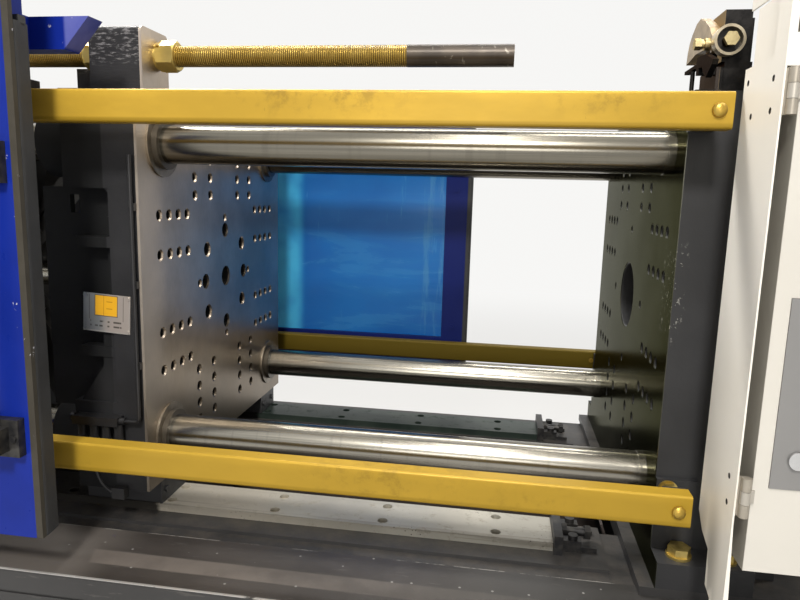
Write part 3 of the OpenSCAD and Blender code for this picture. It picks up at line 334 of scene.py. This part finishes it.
give(casting("casting_moving", lo=MOVING_FACE), "moving_platen")
give(casting("casting_fixed", hi=FIXED_FACE, chips=(-0.199, -0.178), bare_col=(0.098, 0.099, 0.079),
             gloss=(0.14, 0.26)), "fixed_platen")
give(casting("casting_plain"), "rear_platen", "ejector_unit", "carriage", "clamp_cylinder", "platen_shoes",
     "rail_brackets")
give(steel("link_steel", (0.06, 0.057, 0.053), 0.45, (1, 1, 6)), "rear_link_upper", "rear_link_lower",
     "front_link_upper", "front_link_lower", "crosshead", "cross_link_upper", "cross_link_lower",
     "ejector_plate")
give(steel("plain_steel", (0.25, 0.24, 0.22), 0.36, (1, 5, 1)), "tie_bar_nuts", "levelling_feet",
     "carriage_cylinders", "barrel", "screw")

m = Mat("tie_bar_chrome")
s = m.noise(160, 4, 0.65, stretch=(0.02, 1.4, 1.4))
rings = m.noise(55, 3, 0.6, stretch=(1.6, 0.02, 0.02))
long = m.noise(46, 4, 0.6, stretch=(0.015, 1.3, 1.3))
c = m.mix(m.step(s, 0.35, 0.75), (0.34, 0.32, 0.275), (0.235, 0.222, 0.188))
c = m.mix(m.mul(m.step(rings, 0.56, 0.7), 0.3), c, (0.17, 0.16, 0.14))
c = m.mix(m.mul(m.step(long, 0.45, 0.65), 0.5), c, (0.15, 0.14, 0.115))
# painted shade: the upper tie bars made darker than the lower ones
c = m.mix(m.mul(m.step(m.z, 1.3, 1.35), 0.38), c, (0.085, 0.074, 0.05))
m.set(color=c, metal=1.0, rough=m.lerp(s, 0.15, 0.28), normal=m.bump(rings, 0.04, 0.0004))
give(m, "tie_bars", "crosshead_guides")

m = Mat("wiper_steel")
ring = m.step(m.x, -1.0462, -1.0458)
c = m.mix(m.step(m.noise(40, 4), 0.35, 0.7), (0.24, 0.205, 0.16), (0.4, 0.35, 0.28))
m.set(color=m.mix(ring, c, (0.1, 0.085, 0.065)), metal=m.lerp(ring, 1, 0.7),
      rough=m.lerp(m.noise(90), 0.28, 0.45))
give(m, "tie_bar_wipers")

m = Mat("strip_steel")
dirt = m.step(m.noise(34, 6, 0.75), 0.52, 0.72)
specks = m.step(m.voronoi(150), 0.2, 0.1)
c = m.mix(m.step(m.noise(6, 4), 0.3, 0.7), (0.38, 0.365, 0.32), (0.5, 0.475, 0.415))
c = m.mix(m.mul(dirt, 0.55), c, (0.15, 0.125, 0.09))
c = m.mix(m.mul(specks, m.step(m.noise(12, 3), 0.45, 0.6)), c, (0.035, 0.03, 0.025))
c = m.mix(m.mul(m.step(m.x, -0.6, -0.9), 0.5), c, (0.62, 0.56, 0.46))
# painted shade: the far strip, behind the platens, made much darker
back = m.step(m.y, 0.1, 0.12)
c = m.mix(back, c, m.mix(m.step(m.noise(9, 4), 0.35, 0.65), (0.022, 0.034, 0.029), (0.045, 0.06, 0.05)))
lines = m.mul(m.step(m.noise(60, 3, 0.6, stretch=(0.03, 1, 1)), 0.56, 0.66), m.inv(back))
c = m.mix(m.mul(lines, 0.4), c, (0.12, 0.1, 0.075))
# under the moving platen the strip turns near black: grease and painted shade
ragged = m.math("ADD", m.x, m.math("MULTIPLY", m.noise(30, 4, 0.6), 0.03))
grease_and_shade = m.step(ragged, X(-838), X(-852))
c = m.mix(m.mul(grease_and_shade, 0.96), c, (0.009, 0.008, 0.007))
m.set(color=c, metal=m.lerp(grease_and_shade, 0.35, 0), rough=m.lerp(dirt, 0.32, 0.6), spec=0.3)
m.set(normal=m.bump(m.noise(120, 4), 0.15, 0.0006))
give(m, "slide_strips")

m = Mat("rail_gold")
soft = m.noise(5, 5, 0.6, stretch=(1, 3, 3))
fine = m.noise(210, 3, 0.6, stretch=(0.25, 1, 1))
c = m.mix(m.step(soft, 0.3, 0.72), shade(GOLD, 0.86), shade(GOLD, 1.1))
smudge = m.any(m.spot(W(-400, -437, -250), 0.13, (0.6, 1, 1.4)),
               m.spot(W(-190, -437, -262), 0.09, (0.8, 1, 1.6)),
               m.spot(W(-520, -437, 325), 0.1, (0.5, 1, 2)),
               m.spot(W(-120, -437, 322), 0.08, (0.6, 1, 2)))
wear = m.mul(smudge, m.step(m.noise(38, 6, 0.7), 0.46, 0.66))
wear = m.any(wear, m.mul(m.step(m.noise(22, 6, 0.75), 0.62, 0.74), 0.5))
c = m.mix(m.mul(wear, 0.6), c, (0.15, 0.09, 0.02))
front = m.step(m.y, -0.4, -0.41)
# painted shade on the lower bevel of each rail's front
lower_bevel_shade = m.any(m.between(m.z, Z(283) - 0.002, Z(290), 0.002),
             m.between(m.z, Z(-274), Z(-264), 0.002))
c = m.mix(m.mul(lower_bevel_shade, front, 0.75), c, (0.25, 0.15, 0.008))
# painted shade: each rail's front darker towards its bottom, the lower rail more
downward_shade = m.any(m.between(m.z, Z(283), Z(326), 0.012), m.between(m.z, Z(-272), Z(-230), 0.012))
c = m.mix(m.mul(downward_shade, front, m.lerp(m.step(m.z, 1.1, 1.2), 0.42, 0.3)), c, (0.26, 0.165, 0.015))
# painted shade: the rails darker towards the fixed platen
c = m.mix(m.mul(m.step(m.x, -0.7, -0.2), 0.4), c, (0.25, 0.16, 0.012))
mark = m.mul(m.step(m.noise(30, 5, 0.7, stretch=(2.2, 1, 0.5)), 0.68, 0.71), front)
c = m.mix(m.mul(mark, 0.55), c, (0.07, 0.04, 0.012))
# painted shade: the lower rail a shade darker than the upper
c = m.mix(m.mul(m.step(m.z, 1.2, 1.1), 0.3), c, (0.33, 0.21, 0.015))
# painted shade: the rear rails much darker than the front ones
rear = m.step(m.y, 0.0, 0.02)
c = m.mix(m.mul(rear, 0.93), c, (0.09, 0.063, 0.002))
m.set(color=c, metal=m.lerp(rear, 0.17, 0.05), rough=m.lerp(rear, m.lerp(fine, 0.3, 0.44), 0.6), spec=0.22)
m.set(normal=m.bump(fine, 0.08, 0.0005))
give(m, "gate_rails")
give(fitting("rail_bolt_gold", 70, 4, 0.3, ((0.34, 0.22, 0.035), (0.5, 0.33, 0.06)), 0.7, (0.3, 0.44),
             (240, 0.1, 0.0004)), "rail_bolts")
give(fitting("zinc_gold", 60, 4, 0.3, ((0.4, 0.29, 0.07), (0.6, 0.46, 0.16)), 0.85, (0.26, 0.4),
             (300, 0.1, 0.0004)), "frame_bolts")

m = Mat("threaded_rod")
rod = m.step(m.off(m.y, ROD_AXIS.y, m.z, ROD_AXIS.z), ROD_RADIUS + 0.0002, ROD_RADIUS - 0.0002)
dark_end = m.mul(m.step(m.x, ROD_DARK_FROM - 0.0005, ROD_DARK_FROM + 0.0005), rod)
th = m.wave("X", 90)
n = m.noise(30, 4)
c = m.mix(m.step(n, 0.3, 0.7), (0.33, 0.205, 0.035), (0.46, 0.31, 0.075))
# painted shade in the thread grooves
c = m.mix(m.mul(m.step(th, 0.5, 0.1), 0.75), c, (0.05, 0.032, 0.01))
oil = m.mul(m.step(m.x, -0.80, -0.70), m.step(m.z, ROD_AXIS.z + 0.004, ROD_AXIS.z + 0.014),
            m.step(m.noise(60, 4), 0.35, 0.6))
c = m.mix(m.mul(oil, 0.7), c, (0.05, 0.035, 0.015))
c = m.mix(rod, m.mix(m.noise(40, 3), (0.5, 0.36, 0.09), (0.64, 0.48, 0.15)), c)
scratch = m.mul(m.step(m.noise(60, 3, 0.5, stretch=(1.5, 0.3, 1.1), distort=0.4), 0.66, 0.69), 0.6)
brown = m.mix(m.step(m.noise(22, 4), 0.35, 0.65), (0.025, 0.0175, 0.011), (0.043, 0.031, 0.02))
c = m.mix(dark_end, c, m.mix(scratch, brown, (0.2, 0.18, 0.15)))
flat = m.lerp(m.any(dark_end, m.inv(rod)), th, 0.5)
m.set(color=c, metal=m.lerp(dark_end, 0.85, 0.45), rough=m.lerp(n, 0.3, 0.42))
m.set(normal=m.bump(flat, 0.8, 0.0012))
give(m, "safety_rod")

give(paint("bed_enamel", BED, 0.42, 0.2, 7, 0.2, dust=0.35, dust_col=(0.12, 0.1, 0.08)),
     "machine_bed", "hydraulic_unit")
m = Mat("apron_enamel")
n = m.noise(6, 5)
top = m.step(m.z, SHEET_TOP - 0.0002, SHEET_TOP + 0.0002)
c = m.mix(m.step(n, 0.3, 0.7), (0.034, 0.029, 0.026), (0.054, 0.047, 0.043))
c = m.mix(top, m.mix(m.step(n, 0.3, 0.7), (0.024, 0.023, 0.023), (0.032, 0.031, 0.031)), c)
# painted reflection: a lighter band of a ceiling lamp along the top, fading to the right
wavy = m.math("ADD", m.y, m.math("MULTIPLY", m.noise(5, 3), 0.006))
# painted light: the top lighter at its left end, by the gate
c = m.mix(m.mul(top, m.step(m.x, -1.02, -1.12)), c, (0.11, 0.098, 0.088))
slanted = m.math("ADD", m.x, m.math("MULTIPLY", m.y, 0.4))
ceiling_lamp_reflection = m.mul(m.between(wavy, -0.476, -0.438, 0.002), m.step(slanted, -1.277, -1.268), top)
cloudy = m.lerp(m.step(m.noise(16, 4), 0.35, 0.65), 0.5, 0.85)
c = m.mix(m.mul(ceiling_lamp_reflection, cloudy, m.lerp(m.step(m.x, -0.9, -0.4), 1, 0.45)), c, (0.15, 0.13, 0.115))
c = m.mix(m.mul(top, m.step(m.x, -0.75, -0.35), 0.6), c, (0.024, 0.025, 0.025))
scr = m.mul(m.step(m.noise(120, 4, 0.6, stretch=(0.15, 1, 1)), 0.62, 0.7), 0.3)
c = m.mix(scr, c, (0.12, 0.11, 0.1))
dots = m.mul(m.step(m.voronoi(28), 0.07, 0.04), top)
c = m.mix(m.mul(dots, 0.7), c, (0.3, 0.29, 0.28))
# the front edge bright: worn bare metal and a painted highlight
edge = m.mul(m.step(m.y, -0.515, -0.5185), m.step(m.z, 0.7735, 0.7752), m.step(m.noise(30, 4), 0.3, 0.4))
inner = m.mul(m.step(m.y, -0.3785, -0.3775), top, m.step(m.noise(14, 5, 0.7), 0.46, 0.56))
c = m.mix(m.mul(inner, 0.7), c, (0.3, 0.29, 0.27))
c = m.mix(edge, c, (0.72, 0.7, 0.68))
m.set(color=c, rough=m.lerp(m.noise(50, 4), 0.26, 0.42), metal=m.mul(edge, 0.7))
m.set(normal=m.bump(m.noise(330, 2), 0.1, 0.0006))
give(m, "bed_covers")
give(paint("chute_brown", (0.05, 0.04, 0.036), 0.5, 0.2), "drop_chute")

give(fitting("blackened", 70, 5, 0.35, ((0.016, 0.016, 0.018), (0.05, 0.047, 0.043)), 0.3, (0.3, 0.5),
             (260, 0.25, 0.0007)),
     "strip_stops", "front_gate_handle", "front_gate_glides", "rear_gate_glides")

m = Mat("latch_black")
n = m.noise(60, 5)
c = m.mix(m.step(n, 0.35, 0.7), (0.018, 0.0175, 0.0175), (0.034, 0.032, 0.031))
from_lever = m.off(m.y, LEVER_PIN.y, m.z, LEVER_PIN.z)
from_roller = m.off(m.x, ROLLER_PIN.x, m.z, ROLLER_PIN.z)
bolt = m.any(m.mul(m.step(from_lever, 0.0098, 0.0094), m.step(m.x, X(33) + 0.0003, X(33))),
             m.mul(m.step(from_roller, 0.0112, 0.0108), m.step(m.y, -0.3249, -0.3253)))
creamy = m.between(m.x, X(46.9), X(47.2), 0.0001)
brown = m.between(m.x, X(41.8), X(46.8), 0.0001)
high = m.mul(brown, m.step(m.z, 1.52, 1.53))
c = m.mix(high, c, m.mix(m.noise(40, 5), (0.052, 0.043, 0.039), (0.085, 0.072, 0.064)))
c = m.mix(creamy, c, (0.33, 0.25, 0.15))
rod = m.mul(m.between(m.x, X(18.2), X(25), 0.0002), m.between(m.y, -0.2605, -0.2535, 0.0002),
            m.step(m.z, Z(400), Z(400.5)))
c = m.mix(rod, c, (0.1, 0.085, 0.06))
c = m.mix(bolt, c, m.mix(m.noise(50), (0.5, 0.4, 0.2), (0.68, 0.57, 0.32)))
m.set(color=c, metal=1.0, rough=m.lerp(n, 0.34, 0.48), tint=(0.42, 0.38, 0.35))
m.set(normal=m.bump(m.noise(220, 3), 0.3, 0.0008))
give(m, "latch_bracket")
give(fitting("latch_tan", 50, 5, 0.3, ((0.24, 0.17, 0.09), (0.38, 0.29, 0.175)), 0.6, (0.3, 0.45),
             (200, 0.1, 0.0005)), "latch_lever")
m = Mat("roller_steel")
n = m.noise(50, 5)
# painted shade: the hollow inside the roller's ring darkened
inner = m.step(m.off(m.x, ROLLER_PIN.x, m.z, ROLLER_PIN.z), 0.0178, 0.0174)
c = m.mix(m.step(n, 0.3, 0.7), (0.44, 0.37, 0.26), (0.6, 0.52, 0.38))
c = m.mix(inner, c, (0.02, 0.018, 0.016))
m.set(color=c, metal=m.lerp(inner, 0.8, 0.1), rough=m.lerp(n, 0.28, 0.42))
m.set(normal=m.bump(m.noise(200, 3), 0.08, 0.0005))
give(m, "latch_roller")

# painted shade: the rear gate in a darker copy of the front gate's blue
m = paint("gate_enamel", (0.0035, 0.0105, 0.105), 0.42, 0.12, 5, 0.1)
m.set(spec=0.15)
give(m, "rear_gate")
m = Mat("front_gate_enamel")
n = m.noise(5, 4)
lip = m.mul(m.between(m.x, X(-917.7), X(-907.0), 0.0002), m.step(m.y, -0.5358, -0.5362))
c = m.mix(m.step(n, 0.3, 0.7), shade(BLUE, 0.85), shade(BLUE, 1.15))
chip = m.mul(m.step(m.noise(60, 5, 0.7), 0.68, 0.7), m.step(m.x, -1.15, -1.12))
arm = m.mul(m.step(m.x, X(-906), X(-900)), m.step(m.noise(7, 5), 0.25, 0.6))
c = m.mix(m.mul(arm, 0.9), c, (0.12, 0.135, 0.4))
c = m.mix(lip, c, m.mix(m.noise(40, 4), (0.04, 0.036, 0.029), (0.065, 0.058, 0.046)))
c = m.mix(chip, c, (0.4, 0.4, 0.45))
m.set(color=c, rough=m.lerp(lip, m.lerp(m.noise(60), 0.24, 0.36), 0.5), spec=0.16)
m.set(normal=m.bump(m.noise(420, 2), 0.1, 0.0006))
give(m, "front_gate")
give(paint("drive_enamel", (0.04, 0.07, 0.25), 0.3), "screw_drive")
give(paint("guard_enamel", (0.6, 0.36, 0.03), 0.35), "nozzle_guard")
give(paint("panel_enamel", WHITE, 0.38, 0.035, 4, 0.08), "clamp_covers", "barrel_cover")
m = Mat("housing_enamel")
# painted shade: the housing in a darker copy of the post's white
c = m.mix(m.step(m.noise(4, 4), 0.3, 0.7), shade(WHITE, 0.87), shade(WHITE, 0.93))
# painted shade on the housing's side face
side = m.step(m.x, X(58.6), X(58.2))
c = m.mix(m.mul(side, 0.55), c, (0.2, 0.185, 0.15))
knuckle = m.mul(m.step(m.x, X(60.8), X(60.5)), m.step(m.y, -0.5602, -0.5604))
c = m.mix(knuckle, c, (0.44, 0.41, 0.36))
m.set(color=c, rough=m.lerp(m.noise(60, 3), 0.36, 0.46), metal=m.math("MULTIPLY", knuckle, 0.5))
m.set(normal=m.bump(m.noise(420, 2), 0.08, 0.0006))
give(m, "control_housing")
m = Mat("post_enamel")
n = m.noise(4, 4)
# painted light: the post in a lighter copy of the housing's white
c = m.mix(m.step(n, 0.3, 0.7), shade(WHITE, 1.2), shade(WHITE, 1.27))
# two soft grey patches on the post's face
grey_patches = m.any(m.mul(m.spot(W(40, -452, -262), 0.05, (1, 1.2, 0.7)),
                    m.step(m.noise(30, 2, 0.4, (1, 1, 0.3)), 0.4, 0.46)),
              m.mul(m.spot(W(40, -500, -280), 0.07, (1, 1.6, 0.6)),
                    m.step(m.noise(22, 2, 0.4, (1, 1, 0.3)), 0.44, 0.5)))
c = m.mix(m.mul(grey_patches, 0.7), c, (0.3, 0.285, 0.255))
# painted shade: the small holes darkened inside
hole = None
for hole_y, hole_z in POST_HOLES:
    q = W(0, hole_y, hole_z)
    one = m.step(m.off(m.y, q.y, m.z, q.z), 0.0041, 0.0037)
    hole = one if hole is None else m.any(hole, one)
c = m.mix(hole, c, (0.03, 0.027, 0.024))
m.set(color=c, rough=m.lerp(m.noise(60, 3), 0.34, 0.46), normal=m.bump(m.noise(420, 2), 0.08, 0.0006))
give(m, "guard_post")
give(paint("profile_rubber", (0.023, 0.0235, 0.025), 0.66, 0.2, 20, 0.3),
     "front_gate_profile", "rear_gate_profile")

m = Mat("hinge_plate")
n = m.noise(40, 4)
m.set(color=m.mix(n, (0.3, 0.27, 0.22), (0.42, 0.38, 0.32)), metal=0.5, rough=m.lerp(n, 0.32, 0.48))
give(m, "panel_hinges")
m = Mat("sheet_bright")
n = m.noise(3, 4)
m.set(color=m.mix(n, (0.5, 0.5, 0.5), (0.66, 0.66, 0.66)), metal=0.9,
      rough=m.lerp(m.noise(200, 2, 0.5, (1, 1, 0.05)), 0.22, 0.38))
give(m, "hopper", "hopper_lid")
m = Mat("switch_chrome")
m.set(color=m.mix(m.noise(90), (0.6, 0.6, 0.6), (0.75, 0.75, 0.75)), metal=1.0, rough=0.16)
give(m, "panel_switch")
m = Mat("panel_field")
n = m.noise(6, 3)
m.set(color=m.mix(n, (0.22, 0.216, 0.212), (0.27, 0.266, 0.262)), metal=0.35,
      rough=m.lerp(m.noise(300), 0.36, 0.46))
give(m, "control_panel")
m = Mat("stop_red")
m.set(color=m.mix(m.noise(30), (0.45, 0.012, 0.012), (0.55, 0.02, 0.018)), rough=0.28, coat=0.4)
give(m, "estop_button")
m = Mat("lube_parts")
n = m.noise(45, 4)
m.set(color=m.mix(n, (0.016, 0.016, 0.018), (0.035, 0.034, 0.034)), metal=0.3, rough=m.lerp(n, 0.3, 0.45))
give(m, "lube_block")

# plate with a dark lower band and an orange-yellow field, on the moving platen's side
m = Mat("info_plate")
dx = m.math("SUBTRACT", m.x, PLATE_CENTRE.x)
dz = m.math("SUBTRACT", m.z, PLATE_CENTRE.z)
cos_t, sin_t = math.cos(PLATE_TILT), math.sin(PLATE_TILT)
along = m.math("SUBTRACT", m.math("MULTIPLY", dx, cos_t), m.math("MULTIPLY", dz, sin_t))
across = m.math("ADD", m.math("MULTIPLY", dx, sin_t), m.math("MULTIPLY", dz, cos_t))
field = m.mul(m.between(along, -0.0211, 0.0193, 0.0003), m.between(across, -0.0042, 0.0302, 0.0003))
rim = m.mul(m.between(along, -0.0222, 0.0204, 0.0003), m.between(across, -0.0054, 0.0314, 0.0003),
            m.inv(field))
cool = m.step(m.math("ADD", along, m.math("MULTIPLY", m.noise(30), 0.02)), 0.02, -0.005)
c = m.mix(cool, (0.5, 0.44, 0.39), (0.25, 0.265, 0.265))
bars = m.any(m.between(along, -0.0060, -0.0050, 0.0003),
             m.mul(m.between(along, -0.0005, 0.0105, 0.0004), m.between(across, 0.0075, 0.0090, 0.0004)),
             m.mul(m.between(along, -0.0005, 0.0105, 0.0004), m.between(across, 0.0195, 0.0210, 0.0004)))
orange = m.mix(m.noise(50), (0.66, 0.33, 0.012), (0.74, 0.4, 0.02))
c = m.mix(field, c, m.mix(m.mul(bars, 0.75), orange, (0.3, 0.12, 0.004)))
frame_lines = m.any(m.mul(m.between(along, -0.0325, -0.0315, 0.0003), m.between(across, -0.012, 0.031)),
                    m.mul(m.between(along, 0.0300, 0.0309, 0.0003), m.between(across, -0.012, 0.031)))
rows = m.mul(m.any(m.between(across, -0.0162, -0.0132, 0.0005),
                   m.between(across, -0.0240, -0.0210, 0.0005)),
             m.step(m.noise(90, 2, 0.5, (1, 1, 0.1)), 0.44, 0.5), m.between(along, -0.030, 0.032))
c = m.mix(m.mul(m.any(rim, frame_lines, rows), 0.8), c, (0.03, 0.024, 0.018))
lighter = m.any(m.step(along, 0.0400, 0.0415), m.step(across, -0.0300, -0.0315))
c = m.mix(m.mul(lighter, 0.6), c, (0.55, 0.52, 0.48))
m.set(color=c, metal=m.lerp(field, 0.5, 0.0), rough=m.lerp(m.noise(60), 0.32, 0.42))
give(m, "info_plate")

m = Mat("window_clear")
n = m.noise(4, 3)
m.set(color=(0.82, 0.88, 0.9), trans=1.0, rough=m.lerp(n, 0.02, 0.06), ior=1.2, alpha=m.lerp(n, 0.28, 0.34))
give(m, "front_gate_window")

m = Mat("window_film")
crease = m.any(m.mul(m.step(m.noise(3.5, 6, 0.6, (0.5, 1, 2.4), 1.2), 0.5, 0.62), 0.8),
               m.step(m.noise(14, 4, 0.6, (2.5, 1, 0.3)), 0.6, 0.7))
tone = m.step(m.noise(2.4, 3), 0.3, 0.7)
c = m.mix(tone, (0.005, 0.085, 0.32), (0.01, 0.14, 0.43))
c = m.mix(m.mul(crease, 0.16), c, (0.06, 0.32, 0.52))
# painted light: a cyan patch of brightness seen through the film from behind
patch = m.mul(m.between(m.x, X(-908), X(-828), 0.016), m.step(m.noise(6, 3), 0.2, 0.55))
c = m.mix(m.mul(patch, 0.7), c, (0.07, 0.46, 0.7))
fold = m.mul(m.between(m.x, X(-472), X(-409), 0.002),
             m.step(m.noise(26, 5, 0.7, (2.6, 1, 0.22)), 0.45, 0.6))
c = m.mix(m.mul(fold, 0.3), c, (0.1, 0.3, 0.45))
m.set(color=c, rough=m.lerp(crease, 0.2, 0.34), spec=0.2, alpha=0.92)
relief = m.any(m.noise(9, 5, 0.6, (0.6, 1, 3)), m.math("MULTIPLY", fold, 0.6))
# painted light: the film glows faintly in its own colour
m.set(emit=c, emit_power=0.12, normal=m.bump(relief, 0.3, 0.004))
give(m, "rear_gate_window")

# ---------------------------------------------------------------- floor, backdrop and light
FLOOR_HALF = 14
BACKDROP = (0.93, 0.925, 0.91, 1)
WORLD_TONE = (0.90, 0.885, 0.86, 1)
WORLD_LIGHT = 0.32
GLOW_NEAR, GLOW_FAR = 2.5, 8  # the floor's glow grows between these distances from the origin

floor_mesh = bpy.data.meshes.new("floor")
bm = bmesh.new()
bmesh.ops.create_grid(bm, x_segments=1, y_segments=1, size=FLOOR_HALF)
bm.to_mesh(floor_mesh)
bm.free()
floor = bpy.data.objects.new("floor", floor_mesh)
scene.collection.objects.link(floor)
m = Mat("floor")
m.set(color=m.mix(m.noise(1.2, 3), (0.72, 0.71, 0.69), (0.76, 0.75, 0.73)), rough=0.7, spec=0.1)
floor_mesh.materials.append(m.m)


def looked_at(tree):
    """1 for what the camera sees, straight or by metal and glass, 0 for light that falls on the object."""
    path = tree.nodes.new("ShaderNodeLightPath")
    out = None
    for kind in ("Is Camera Ray", "Is Glossy Ray", "Is Transmission Ray"):
        if out is None:
            out = path.outputs[kind]
        else:
            n = tree.nodes.new("ShaderNodeMath")
            n.operation = "MAXIMUM"
            tree.links.new(out, n.inputs[0])
            tree.links.new(path.outputs[kind], n.inputs[1])
            out = n.outputs[0]
    return out


glow = m.t.nodes.new("ShaderNodeEmission")
glow.inputs["Color"].default_value = BACKDROP
share = m.t.nodes.new("ShaderNodeMixShader")
far = m.step(m.off(m.x, 0, m.y, 0), GLOW_NEAR, GLOW_FAR)
m.put(share.inputs[0], m.math("MULTIPLY", looked_at(m.t), m.lerp(far, 0.6, 1)))
m.t.links.new(m.b.outputs[0], share.inputs[1])
m.t.links.new(glow.outputs[0], share.inputs[2])
m.t.links.new(share.outputs[0], m.out.inputs["Surface"])

world = bpy.data.worlds.new("world")
scene.world = world
world.use_nodes = True
tree = world.node_tree
ambient = tree.nodes["Background"]
ambient.inputs["Color"].default_value = WORLD_TONE
ambient.inputs["Strength"].default_value = WORLD_LIGHT
backdrop = tree.nodes.new("ShaderNodeBackground")
backdrop.inputs["Color"].default_value = BACKDROP
backdrop.inputs["Strength"].default_value = 1.0
either = tree.nodes.new("ShaderNodeMixShader")
tree.links.new(looked_at(tree), either.inputs[0])
tree.links.new(ambient.outputs[0], either.inputs[1])
tree.links.new(backdrop.outputs[0], either.inputs[2])
tree.links.new(either.outputs[0], tree.nodes["World Output"].inputs["Surface"])


def area(name, loc, target, size, power, size_y=None):
    """A warm area lamp that faces the target."""
    d = bpy.data.lights.new(name, "AREA")
    d.energy = power
    d.color = (1, 0.97, 0.92)
    d.shape = "RECTANGLE" if size_y else "SQUARE"
    d.size = size
    if size_y:
        d.size_y = size_y
    o = bpy.data.objects.new(name, d)
    o.location = loc
    o.rotation_euler = (Vector(target) - Vector(loc)).to_track_quat("-Z", "Y").to_euler()
    scene.collection.objects.link(o)


area("key", (-0.62, -3.2, 3.8), (-0.5, -0.3, 1.2), 0.5, 118)
area("strip_a", (-0.6, -2.2, 5.2), (-0.6, -0.3, 1.2), 0.35, 65, size_y=3.5)
area("strip_b", (1.4, 0.4, 5.2), (-0.4, 0.0, 1.2), 0.35, 90, size_y=3.5)
area("strip_c", (-0.6, 2.4, 5.0), (-0.6, 0.3, 1.2), 3.5, 70, size_y=0.35)
area("side", (-2.4, 0.9, 4.2), (-0.1, -0.4, 1.2), 0.6, 115)
area("fill", (-0.6, -4.8, 2.0), (-0.5, -0.2, 1.1), 1.4, 40)
